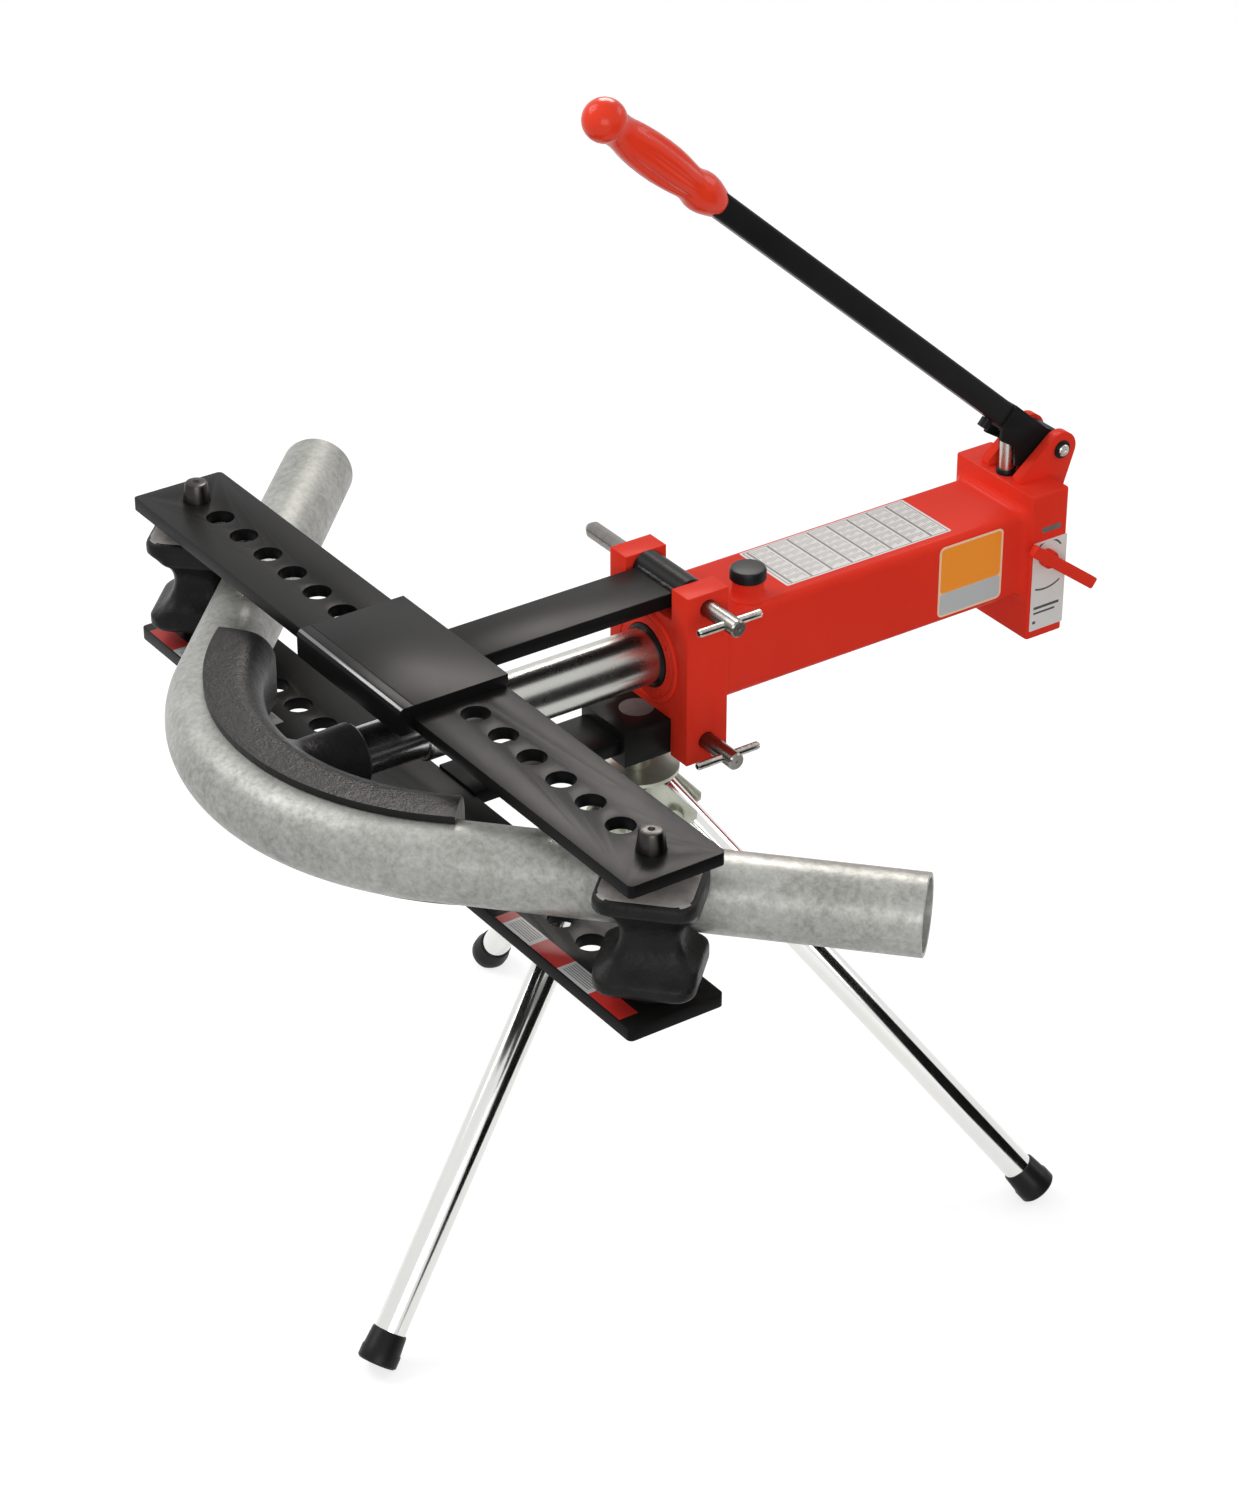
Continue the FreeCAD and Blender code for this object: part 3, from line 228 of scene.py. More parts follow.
class EffectLibrary:
    """Makes each shared node group once."""

    _made: dict[Effect, bpy.types.ShaderNodeTree] = {}

    @classmethod
    def get(cls, effect: Effect) -> bpy.types.ShaderNodeTree:
        """Return the node group of an effect, built on first use.

        Args:
            effect: which effect.

        Returns:
            Its node tree.
        """
        if effect not in cls._made:
            maker: Callable[[], bpy.types.ShaderNodeTree] = getattr(cls, f"_{effect.value}")
            cls._made[effect] = maker()
        return cls._made[effect]

    @staticmethod
    def _place(group: GroupBuilder) -> bpy.types.NodeSocket:
        """Object coordinates inside a group."""
        return group.node("ShaderNodeTexCoord").outputs["Object"]

    @classmethod
    def _smudge(cls) -> bpy.types.ShaderNodeTree:
        """Broad uneven tone and gloss, as handled paint or metal has."""
        group = GroupBuilder("smudge")
        group.input("Colour", Sockets.COLOUR, (0.5, 0.5, 0.5, 1))
        group.input("Stain", Sockets.COLOUR, (0.4, 0.4, 0.4, 1))
        group.input("Amount", Sockets.VALUE, 0.5)
        group.input("Scale", Sockets.VALUE, 8.0)
        group.input("Roughness", Sockets.VALUE, 0.4)
        group.input("Spread", Sockets.VALUE, 0.1)
        place = cls._place(group)
        entry = group.entry.outputs
        broad = group.noise(place, entry["Scale"], 6.0, 0.62)
        mask = group.ramp(broad, 0.38, 0.68)
        amount = group.maths("MULTIPLY", mask, entry["Amount"], True)
        group.output("Colour", Sockets.COLOUR, group.mix(amount, entry["Colour"], entry["Stain"]))
        shift = group.maths("MULTIPLY", group.ramp(broad, 0.3, 0.7, -1, 1), entry["Spread"])
        group.output("Roughness", Sockets.VALUE, group.maths("ADD", entry["Roughness"], shift, True))
        return group.tree

    @classmethod
    def _grain(cls) -> bpy.types.ShaderNodeTree:
        """Height of a cast, sprayed or moulded skin: fine grain over soft waves."""
        group = GroupBuilder("grain")
        group.input("Fine", Sockets.VALUE, 900.0)
        group.input("Broad", Sockets.VALUE, 60.0)
        group.input("Share", Sockets.VALUE, 0.5)
        place = cls._place(group)
        entry = group.entry.outputs
        fine = group.noise(place, entry["Fine"], 3.0, 0.6)
        broad = group.noise(place, entry["Broad"], 3.0, 0.5)
        waves = group.maths("MULTIPLY", broad, entry["Share"])
        group.output("Height", Sockets.VALUE, group.maths("ADD", fine, waves))
        return group.tree

    @classmethod
    def _scratch(cls) -> bpy.types.ShaderNodeTree:
        """Fine lines along one way: noise stretched by a vector."""
        group = GroupBuilder("scratch")
        group.input("Stretch", Sockets.VECTOR, (1, 1, 1))
        group.input("Scale", Sockets.VALUE, 300.0)
        place = cls._place(group)
        entry = group.entry.outputs
        node = group.node("ShaderNodeVectorMath", operation="MULTIPLY")
        group.join(place, node.inputs[0])
        group.join(entry["Stretch"], node.inputs[1])
        group.output("Height", Sockets.VALUE, group.noise(node.outputs[0], entry["Scale"], 4.0, 0.7))
        return group.tree

    @classmethod
    def _spangle(cls) -> bpy.types.ShaderNodeTree:
        """Crystals, dark specks and cloudy patches of dipped zinc."""
        group = GroupBuilder("spangle")
        group.input("Light", Sockets.COLOUR, (0.6, 0.6, 0.6, 1))
        group.input("Dark", Sockets.COLOUR, (0.3, 0.3, 0.3, 1))
        group.input("Scale", Sockets.VALUE, 60.0)
        place = cls._place(group)
        entry = group.entry.outputs
        warp = group.node("ShaderNodeTexNoise")
        group.join(place, warp.inputs["Vector"])
        warp.inputs["Scale"].default_value = 30.0
        bent = group.node("ShaderNodeMix", data_type="VECTOR")
        bent.inputs[0].default_value = 0.05
        group.join(place, bent.inputs[4])
        group.join(warp.outputs["Color"], bent.inputs[5])
        cells = group.node("ShaderNodeTexVoronoi", feature="F1")
        group.join(bent.outputs[1], cells.inputs["Vector"])
        group.join(entry["Scale"], cells.inputs["Scale"])
        grey = group.node("ShaderNodeSeparateColor")
        group.join(cells.outputs["Color"], grey.inputs[0])
        clouds = group.noise(place, 14.0, 8.0, 0.72)
        specks = group.noise(place, 190.0, 4.0, 0.7)
        crystals = group.maths("ADD", group.maths("MULTIPLY", grey.outputs[0], 0.12),
                               group.maths("MULTIPLY", group.ramp(specks, 0.36, 0.64), 0.40))
        both = group.maths("ADD", crystals, group.maths("MULTIPLY", group.ramp(clouds, 0.34, 0.68), 0.48))
        group.output("Colour", Sockets.COLOUR, group.mix(both, entry["Light"], entry["Dark"]))
        group.output("Mask", Sockets.VALUE, both)
        group.output("Height", Sockets.VALUE, group.noise(place, 260.0, 5.0, 0.7))
        return group.tree

    @classmethod
    def _wear(cls) -> bpy.types.ShaderNodeTree:
        """Small worn specks through a finish."""
        group = GroupBuilder("wear")
        group.input("Colour", Sockets.COLOUR, (0.5, 0.5, 0.5, 1))
        group.input("Bare", Sockets.COLOUR, (0.3, 0.3, 0.3, 1))
        group.input("Scale", Sockets.VALUE, 120.0)
        group.input("Amount", Sockets.VALUE, 0.1)
        place = cls._place(group)
        entry = group.entry.outputs
        specks = group.noise(place, entry["Scale"], 8.0, 0.75)
        edge = group.maths("SUBTRACT", 0.78, group.maths("MULTIPLY", entry["Amount"], 0.3))
        over = group.maths("SUBTRACT", specks, edge)
        mask = group.maths("MULTIPLY", over, 14.0, True)
        group.output("Colour", Sockets.COLOUR, group.mix(mask, entry["Colour"], entry["Bare"]))
        return group.tree


# ------------------------------------------------------------------ finishes

def blank(name: str) -> bpy.types.Material:
    """A new material with Blender's own shader."""
    material = bpy.data.materials.new(name)
    material.use_nodes = True
    return material


@dataclass(frozen=True)
class Finish:
    """A finish: tone, gloss and grain of one surface."""

    name: str
    slot: str
    colour: Colour
    stain: Colour
    roughness: float
    amount: float = 0.4
    scale: float = 9.0
    spread: float = 0.08
    metallic: float = 0.0
    coat: float = 0.0
    coat_roughness: float = 0.1
    specular: float = 0.5
    fine: float = 900.0
    broad: float = 60.0
    share: float = 0.6
    bump: float = 0.12
    depth: float = 0.0004
    bare: Colour | None = None
    worn: float = 0.1
    wear_scale: float = 120.0

    def material(self) -> bpy.types.Material:
        """Return this finish's material, built on first use."""
        found = bpy.data.materials.get(self.name)
        return found or self.build()

    def shader(self, material: bpy.types.Material) -> bpy.types.Node:
        """Set the plain numbers on the material's own shader and return it."""
        shader = material.node_tree.nodes["Principled BSDF"]
        plain = {"Metallic": self.metallic, "Coat Weight": self.coat, "Coat Roughness": self.coat_roughness,
                 "Specular IOR Level": self.specular}
        for key, value in plain.items():
            shader.inputs[key].default_value = value
        return shader

    def effect(self, material: bpy.types.Material, effect: Effect, **values: object) -> bpy.types.Node:
        """Place a shared node group in the material.

        Args:
            material: where it goes.
            effect: which group.
            **values: its inputs, by socket name.

        Returns:
            The group node.
        """
        node = material.node_tree.nodes.new("ShaderNodeGroup")
        node.node_tree = EffectLibrary.get(effect)
        for key, value in values.items():
            if isinstance(value, tuple) and len(value) == 3 and node.inputs[key].type == "RGBA":
                value = (*value, 1.0)
            node.inputs[key].default_value = value
        return node

    def bumped(self, material: bpy.types.Material, height: bpy.types.NodeSocket,
               shader: bpy.types.Node) -> None:
        """Feed a height to the shader's normal through a bump node."""
        bump = material.node_tree.nodes.new("ShaderNodeBump")
        bump.inputs["Strength"].default_value = self.bump
        bump.inputs["Distance"].default_value = self.depth
        material.node_tree.links.new(height, bump.inputs["Height"])
        material.node_tree.links.new(bump.outputs["Normal"], shader.inputs["Normal"])

    def base(self) -> tuple[bpy.types.Material, bpy.types.Node]:
        """Start a material with smudged colour and gloss.

        Returns:
            The material and its shader.
        """
        material = blank(self.name)
        shader = self.shader(material)
        smudge = self.effect(material, Effect.SMUDGE, Colour=self.colour, Stain=self.stain,
                             Amount=self.amount, Scale=self.scale, Roughness=self.roughness,
                             Spread=self.spread)
        links = material.node_tree.links
        links.new(smudge.outputs["Roughness"], shader.inputs["Roughness"])
        colour = smudge.outputs["Colour"]
        if self.bare is not None:
            wear = self.effect(material, Effect.WEAR, Bare=self.bare, Amount=self.worn, Scale=self.wear_scale)
            links.new(colour, wear.inputs["Colour"])
            colour = wear.outputs["Colour"]
        links.new(colour, shader.inputs["Base Color"])
        return material, shader

    def build(self) -> bpy.types.Material:
        """Build the material: smudged colour over a grained skin."""
        material, shader = self.base()
        grain = self.effect(material, Effect.GRAIN, Fine=self.fine, Broad=self.broad, Share=self.share)
        self.bumped(material, grain.outputs["Height"], shader)
        return material


@dataclass(frozen=True)
class Lined(Finish):
    """A metal with fine lines along or around it."""

    stretch: tuple[float, float, float] = (1.0, 1.0, 1.0)
    line_scale: float = 300.0

    def build(self) -> bpy.types.Material:
        """Build the material: smudged colour with drawn or turned lines."""
        material, shader = self.base()
        lines = self.effect(material, Effect.SCRATCH, Stretch=self.stretch, Scale=self.line_scale)
        self.bumped(material, lines.outputs["Height"], shader)
        return material


@dataclass(frozen=True)
class DippedZinc(Finish):
    """Hot-dip galvanised tube: cloudy crystals of light and dark grey."""

    def build(self) -> bpy.types.Material:
        """Build the material from the spangle group."""
        material = blank(self.name)
        shader = self.shader(material)
        links = material.node_tree.links
        spangle = self.effect(material, Effect.SPANGLE, Light=self.colour, Dark=self.stain, Scale=self.scale)
        wear = self.effect(material, Effect.WEAR, Bare=self.bare, Amount=self.worn, Scale=self.wear_scale)
        links.new(spangle.outputs["Colour"], wear.inputs["Colour"])
        links.new(wear.outputs["Colour"], shader.inputs["Base Color"])
        gloss = material.node_tree.nodes.new("ShaderNodeMapRange")
        links.new(spangle.outputs["Mask"], gloss.inputs["Value"])
        gloss.inputs["To Min"].default_value = self.roughness - self.spread
        gloss.inputs["To Max"].default_value = self.roughness + self.spread
        links.new(gloss.outputs["Result"], shader.inputs["Roughness"])
        self.bumped(material, spangle.outputs["Height"], shader)
        return material


def printed(name: str, colour: Colour, stain: Colour, roughness: float, **more: float) -> Finish:
    """A sticker's smooth face or ink, which has no slot.

    Args:
        name: its name.
        colour: its main tone.
        stain: the tone of its uneven patches.
        roughness: how matt it is.
        **more: further fields of the finish.

    Returns:
        The finish.
    """
    return Finish(name, "", colour, stain, roughness, fine=700, bump=0.05, **more)


RED = Finish("red enamel", "red_paint", (0.80, 0.040, 0.020), (0.70, 0.030, 0.015), 0.38, amount=0.5,
             coat=0.02, coat_roughness=0.16, specular=0.03, fine=420, broad=50, bump=0.10, depth=0.0003,
             bare=(0.30, 0.012, 0.006), worn=0.03)
CHARCOAL = Finish("charcoal paint", "charcoal_paint", (0.009, 0.0088, 0.0084), (0.014, 0.0130, 0.0123), 0.34,
                  amount=0.6, scale=7, spread=0.05, specular=0.07, fine=700, broad=40, bump=0.14,
                  bare=(0.06, 0.055, 0.052), worn=0.10, wear_scale=150)
# Side faces: the charcoal paint made darker, which is painted shade, with real worn specks on the edges.
WORN_AND_SHADED_EDGE = Finish("charcoal paint edges", "charcoal_paint", (0.006, 0.006, 0.006), (0.012, 0.0115, 0.011),
                   0.34, amount=0.5, specular=0.05, fine=700, bump=0.12, bare=(0.09, 0.085, 0.08), worn=0.2)
# The saddle's rounded front edge: the charcoal paint made much lighter and glossier; the lighter colour is a
# painted highlight.
PAINTED_HIGHLIGHT_EDGE = Finish("polished paint edge", "charcoal_paint", (0.09, 0.092, 0.092), (0.05, 0.05, 0.05), 0.24,
                     amount=0.4, scale=30, specular=0.8, coat=0.6, coat_roughness=0.12, fine=500, bump=0.1,
                     bare=(0.2, 0.2, 0.2), worn=0.2)
BLACK = Finish("black paint", "black_paint", (0.008, 0.008, 0.0085), (0.014, 0.0135, 0.0135), 0.40,
               amount=0.5, specular=0.10, fine=600, bump=0.12, bare=(0.05, 0.05, 0.05), worn=0.06)
CAST_BLACK = Finish("black casting", "cast_black", (0.011, 0.0105, 0.0105), (0.022, 0.020, 0.020), 0.38,
                    amount=0.6, scale=14, spread=0.10, specular=0.16, fine=420, broad=110, share=1.4,
                    bump=0.5, depth=0.0008, bare=(0.07, 0.065, 0.06), worn=0.16, wear_scale=170)
CAST_GREY = Finish("grey casting", "cast_grey", (0.007, 0.0068, 0.0068), (0.020, 0.0185, 0.018), 0.34,
                   amount=0.8, scale=22, spread=0.12, specular=0.11, fine=380, broad=120, share=1.5,
                   bump=0.5, depth=0.0010, bare=(0.10, 0.09, 0.085), worn=0.22, wear_scale=190)
# The roller blocks' top faces: the grey casting painted far lighter, which is painted light on the tops, with
# uneven specks.
PAINTED_LIGHT_TOP = Finish("rubbed casting face", "cast_grey", (0.40, 0.375, 0.36), (0.13, 0.115, 0.108), 0.45,
                     amount=0.9, scale=30, spread=0.10, specular=0.3, fine=520, broad=140, share=1.2,
                     bump=0.4, bare=(0.40, 0.38, 0.37), worn=0.45, wear_scale=210)
ZINC_DIP = DippedZinc("galvanised tube", "galvanised", (0.52, 0.525, 0.495), (0.21, 0.212, 0.19), 0.38,
                      scale=95, spread=0.08, metallic=0.25, specular=0.35, bump=0.28, depth=0.0006,
                      bare=(0.030, 0.028, 0.024), worn=0.24, wear_scale=64)
CHROME = Lined("hard chrome", "chrome", (0.52, 0.52, 0.49), (0.42, 0.42, 0.39), 0.27, amount=0.4, spread=0.04,
               metallic=1.0, line_scale=260, stretch=(1, 0.04, 1), bump=0.02, depth=0.0002)
LEG_CHROME = Lined("leg chrome", "chrome", (0.78, 0.78, 0.76), (0.66, 0.66, 0.64), 0.14, amount=0.4,
                   spread=0.05, metallic=1.0, line_scale=200, bump=0.06, depth=0.0002)
YELLOW_ZINC = Lined("passivated zinc", "zinc", (0.50, 0.52, 0.44), (0.36, 0.37, 0.29), 0.34, amount=0.7,
                    scale=40, spread=0.08, metallic=0.7, line_scale=240, bump=0.12)
DULL_STEEL = Lined("dull steel end", "zinc", (0.15, 0.145, 0.14), (0.10, 0.097, 0.093), 0.45, amount=0.7,
                   scale=40, spread=0.08, metallic=0.2, specular=0.3, line_scale=240, bump=0.12)
PALE_ZINC = Lined("pale zinc", "zinc", (0.50, 0.50, 0.46), (0.20, 0.20, 0.18), 0.30, amount=0.9, scale=90,
                  spread=0.08, metallic=1.0, line_scale=300, bump=0.12)
STEEL = Lined("turned steel", "steel", (0.24, 0.225, 0.21), (0.10, 0.092, 0.085), 0.27, amount=0.8, scale=34,
              spread=0.08, metallic=1.0, line_scale=320, stretch=(0.08, 1, 1), bump=0.2)
DARK_STEEL = Lined("oiled steel", "steel", (0.05, 0.047, 0.044), (0.028, 0.026, 0.024), 0.30, amount=0.7,
                   scale=40, metallic=1.0, line_scale=240, stretch=(1, 1, 0.1), bump=0.16)
NOSE_STEEL = Lined("ground steel", "steel", (0.55, 0.55, 0.55), (0.40, 0.40, 0.40), 0.2, amount=0.4,
                   metallic=1.0, line_scale=300, stretch=(1, 0.1, 1), bump=0.08)
SEAL = Finish("black seal", "seal_rubber", (0.006, 0.006, 0.006), (0.012, 0.012, 0.012), 0.38, specular=0.12,
              fine=900, bump=0.08)
FOOT = Finish("foot rubber", "foot_rubber", (0.008, 0.008, 0.008), (0.016, 0.016, 0.016), 0.36, amount=0.6,
              specular=0.14, fine=500, bump=0.12)
CAP = Finish("black plastic", "cap_plastic", (0.008, 0.008, 0.009), (0.015, 0.015, 0.015), 0.42,
             specular=0.16, fine=600, bump=0.2)
GRIP = Finish("red grip plastic", "grip_plastic", (0.86, 0.050, 0.018), (0.78, 0.036, 0.014), 0.24,
              amount=0.4, coat=0.12, coat_roughness=0.08, specular=0.12, fine=240, broad=40, bump=0.06)
WHITE_LABEL = printed("label face", (0.76, 0.735, 0.71), (0.64, 0.62, 0.59), 0.40, scale=30, specular=0.2)
INK = printed("label ink", (0.05, 0.05, 0.05), (0.08, 0.08, 0.08), 0.5)
ORANGE_LABEL = printed("label orange", (0.96, 0.30, 0.014), (0.92, 0.27, 0.014), 0.36, specular=0.3)
EDGE_LABEL = printed("label border", (0.90, 0.62, 0.42), (0.86, 0.56, 0.36), 0.36)
RED_INK = printed("label red", (0.50, 0.025, 0.020), (0.42, 0.02, 0.016), 0.4, specular=0.3)
GREY_INK = printed("label grey", (0.11, 0.105, 0.10), (0.22, 0.21, 0.20), 0.45)
FAINT_INK = printed("label faint grey", (0.26, 0.25, 0.24), (0.40, 0.39, 0.375), 0.45)
PALE_BAND = printed("label pale band", (0.50, 0.51, 0.51), (0.44, 0.45, 0.45), 0.4)
WELD = Finish("painted weld", "charcoal_paint", (0.010, 0.010, 0.010), (0.024, 0.022, 0.021), 0.36,
              amount=0.6, scale=60, specular=0.3, fine=260, broad=160, share=1.6, bump=0.8, depth=0.0012)


# ------------------------------------------------------------------ datum and mesh tools

class Axis(Enum):
    """The three axes of the frame."""

    X = 0
    Y = 1
    Z = 2

    def vector(self) -> Vector:
        """Unit vector along the axis."""
        return Vector([1.0 if i == self.value else 0.0 for i in range(3)])


class Datum:
    """Turns datum millimetres into metres of the frame."""

    def __init__(self) -> None:
        """Read the datum from the ram and the upper wing."""
        low, high = (Vector(corner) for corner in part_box("ram"))
        wing_low, wing_high = (Vector(corner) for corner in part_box("upper_wing"))
        self.origin = Vector(((low.x + high.x) / 2, (wing_low.y + wing_high.y) / 2, (low.z + high.z) / 2))

    def matrix(self) -> Matrix:
        """Matrix from datum millimetres to metres of the frame."""
        return Matrix.Translation(self.origin) @ Matrix.Scale(0.001, 4)

    def metres(self, x: float, y: float, z: float) -> Vector:
        """A datum point in metres of the frame."""
        return self.matrix() @ Vector((x, y, z))

    def millimetres(self, point: Sequence[float]) -> Vector:
        """A point of the frame in datum millimetres."""
        return (Vector(point) - self.origin) * 1000


@dataclass
class Bounds:
    """A CAD node's box in datum millimetres."""

    low: Vector
    high: Vector

    @classmethod
    def of(cls, datum: Datum, node: str) -> "Bounds":
        """Read a node's box.

        Args:
            datum: the datum.
            node: the CAD node's name.

        Returns:
            Its box.
        """
        low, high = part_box(node)
        return cls(datum.millimetres(low), datum.millimetres(high))


def mesh_data(mesh: BMesh, name: str) -> bpy.types.Mesh:
    """Write a shape to mesh data and free it."""
    data = bpy.data.meshes.new(name)
    mesh.to_mesh(data)
    mesh.free()
    return data


def linked(name: str, data: bpy.types.ID) -> bpy.types.Object:
    """Make an object from its data and link it to the scene."""
    thing = bpy.data.objects.new(name, data)
    bpy.context.scene.collection.objects.link(thing)
    return thing


class Shapes:
    """Bmesh builders in datum millimetres."""

    @staticmethod
    def block(xs: Span, ys: Span, zs: Span) -> BMesh:
        """A rectangular block.

        Args:
            xs: from and to along X.
            ys: from and to along Y.
            zs: from and to along Z.

        Returns:
            The block.
        """
        mesh = bmesh.new()
        bmesh.ops.create_cube(mesh, size=1.0)
        spans = (xs, ys, zs)
        size = Matrix.Diagonal([high - low for low, high in spans] + [1.0])
        centre = Matrix.Translation([(low + high) / 2 for low, high in spans])
        bmesh.ops.transform(mesh, matrix=centre @ size, verts=mesh.verts)
        return mesh

    @staticmethod
    def plate(outline: Sequence[Point], normal: Axis, start: float, thickness: float) -> BMesh:
        """A plate from an outline drawn across one axis.

        Args:
            outline: points on the two other axes, in X, Y, Z order.
            normal: the axis the plate is thick along.
            start: where it starts on that axis.
            thickness: how thick it is.

        Returns:
            The plate.
        """
        mesh = bmesh.new()
        others = [i for i in range(3) if i != normal.value]
        verts = []
        for across, up in outline:
            point = [0.0, 0.0, 0.0]
            point[others[0]], point[others[1]], point[normal.value] = across, up, start
            verts.append(mesh.verts.new(point))
        face = mesh.faces.new(verts)
        grown = bmesh.ops.extrude_face_region(mesh, geom=[face])
        moved = [v for v in grown["geom"] if isinstance(v, bmesh.types.BMVert)]
        bmesh.ops.translate(mesh, verts=moved, vec=normal.vector() * thickness)
        bmesh.ops.recalc_face_normals(mesh, faces=mesh.faces)
        return mesh

    @staticmethod
    def turned(profile: Sequence[Point], axis: Axis, centre: Sequence[float] = (0, 0, 0),
               steps: int = 64) -> BMesh:
        """A turned piece.

        Args:
            profile: (radius, place along the axis) pairs, from one end to the other.
            axis: the axis it is turned about.
            centre: a point on that axis, added to the profile.
            steps: facets around.

        Returns:
            The closed piece; a profile that ends off the axis is closed back to its start.
        """
        mesh = bmesh.new()
        side = Axis((axis.value + 1) % 3)
        verts = [mesh.verts.new(axis.vector() * along + side.vector() * radius) for radius, along in profile]
        edges = [mesh.edges.new(pair) for pair in zip(verts, verts[1:])]
        if profile[0][0] > 1e-6 or profile[-1][0] > 1e-6:
            edges.append(mesh.edges.new((verts[-1], verts[0])))
        bmesh.ops.spin(mesh, geom=verts + edges, cent=(0, 0, 0), axis=axis.vector(), angle=2 * math.pi,
                       steps=steps, use_merge=True, use_duplicate=False)
        bmesh.ops.remove_doubles(mesh, verts=mesh.verts, dist=1e-4)
        bmesh.ops.recalc_face_normals(mesh, faces=mesh.faces)
        bmesh.ops.translate(mesh, verts=mesh.verts, vec=Vector(centre))
        return mesh

    @staticmethod
    def rod(radius: float, axis: Axis, span: Span, centre: Sequence[float] = (0, 0, 0), edge: float = 0.6,
            steps: int = 48) -> BMesh:
        """A round bar with a small chamfer at both ends.

        Args:
            radius: its radius.
            axis: along which axis.
            span: from and to on that axis.
            centre: a point added to it.
            edge: the chamfer.
            steps: facets around.

        Returns:
            The bar.
        """
        low, high = span
        return Shapes.turned([(0, low), (radius - edge, low), (radius, low + edge), (radius, high - edge),
                              (radius - edge, high), (0, high)], axis, centre, steps)

    @staticmethod
    def bead(start: Sequence[float], end: Sequence[float], radius: float) -> BMesh:
        """A weld bead: a string of overlapping ripples.

        Args:
            start: its first end.
            end: its other end.
            radius: how thick it is.

        Returns:
            The bead.
        """
        way = Vector(end) - Vector(start)
        count = max(2, round(way.length / (radius * 0.9)))
        profile = [(0.0, -radius)]
        for i in range(count + 1):
            along = way.length * i / count
            profile += [(radius * 0.86, along - radius * 0.3), (radius, along),
                        (radius * 0.9, along + radius * 0.3)]
        profile.append((0.0, way.length + radius))
        mesh = Shapes.turned(profile, Axis.Z, steps=16)
        turn = way.to_track_quat("Z", "Y").to_matrix().to_4x4()
        return Shapes.moved(mesh, Matrix.Translation(start) @ turn)

    @staticmethod
    def moved(mesh: BMesh, matrix: Matrix) -> BMesh:
        """Move a shape and return it."""
        bmesh.ops.transform(mesh, matrix=matrix, verts=mesh.verts)
        return mesh

    @staticmethod
    def joined(*meshes: BMesh) -> BMesh:
        """Put shapes into one mesh without cutting them."""
        whole = bmesh.new()
        for mesh in meshes:
            data = mesh_data(mesh, "part")
            whole.from_mesh(data)
            bpy.data.meshes.remove(data)
        return whole

    @staticmethod
    def combined(base: BMesh, operation: str, *tools: BMesh) -> BMesh:
        """Cut, fuse or intersect solids with exact booleans.

        Args:
            base: the shape that is worked on.
            operation: DIFFERENCE, UNION or INTERSECT.
            *tools: the other shapes.

        Returns:
            The result.
        """
        body = linked("work", mesh_data(base, "work"))
        others = [linked("tool", mesh_data(tool, "tool")) for tool in tools]
        for tool in others:
            step = body.modifiers.new("cut", "BOOLEAN")
            step.operation, step.solver, step.object = operation, "EXACT", tool
        graph = bpy.context.evaluated_depsgraph_get()
        data = bpy.data.meshes.new_from_object(body.evaluated_get(graph))
        result = bmesh.new()
        result.from_mesh(data)
        bpy.data.meshes.remove(data)
        for solid in [body, *others]:
            used = solid.data
            bpy.data.objects.remove(solid)
            bpy.data.meshes.remove(used)
        bmesh.ops.remove_doubles(result, verts=result.verts, dist=1e-4)
        return result

    @staticmethod
    def along(axis: Axis) -> Callable[[bmesh.types.BMEdge], bool]:
        """A test for rounded() that only edges along one axis pass.

        Args:
            axis: the axis.

        Returns:
            The test.
        """
        return lambda edge: abs((edge.verts[0].co - edge.verts[1].co).normalized()[axis.value]) > 0.99

    @staticmethod
    def rounded(mesh: BMesh, width: float, segments: int = 3, angle: float = 30.0,
                chosen: Callable[[bmesh.types.BMEdge], bool] | None = None) -> BMesh:
        """Bevel the sharp edges of a shape.

        Args:
            mesh: the shape.
            width: bevel width.
            segments: how many steps round it.
            angle: an edge sharper than this is bevelled.
            chosen: an extra test that an edge has to pass.

        Returns:
            The same mesh.
        """
        limit = math.radians(angle)
        edges = [e for e in mesh.edges if len(e.link_faces) == 2 and e.calc_face_angle(0) > limit
                 and (chosen is None or chosen(e))]
        bmesh.ops.bevel(mesh, geom=edges, offset=width, offset_type="OFFSET", segments=segments, profile=0.5,
                        affect="EDGES", clamp_overlap=True, material=-1)
        return mesh

    @staticmethod
    def copied(node: str, datum: Datum) -> BMesh:
        """A merged copy of a CAD node's mesh, in datum millimetres, with flat faces dissolved.

        Args:
            node: the CAD node's name.
            datum: the datum.

        Returns:
            The copy.
        """
        mesh = bmesh.new()
        mesh.from_mesh(bpy.data.objects[node].data)
        mesh.transform(datum.matrix().inverted())
        bmesh.ops.remove_doubles(mesh, verts=mesh.verts, dist=1e-3)
        bmesh.ops.dissolve_limit(mesh, angle_limit=math.radians(0.5), verts=mesh.verts, edges=mesh.edges)
        return mesh


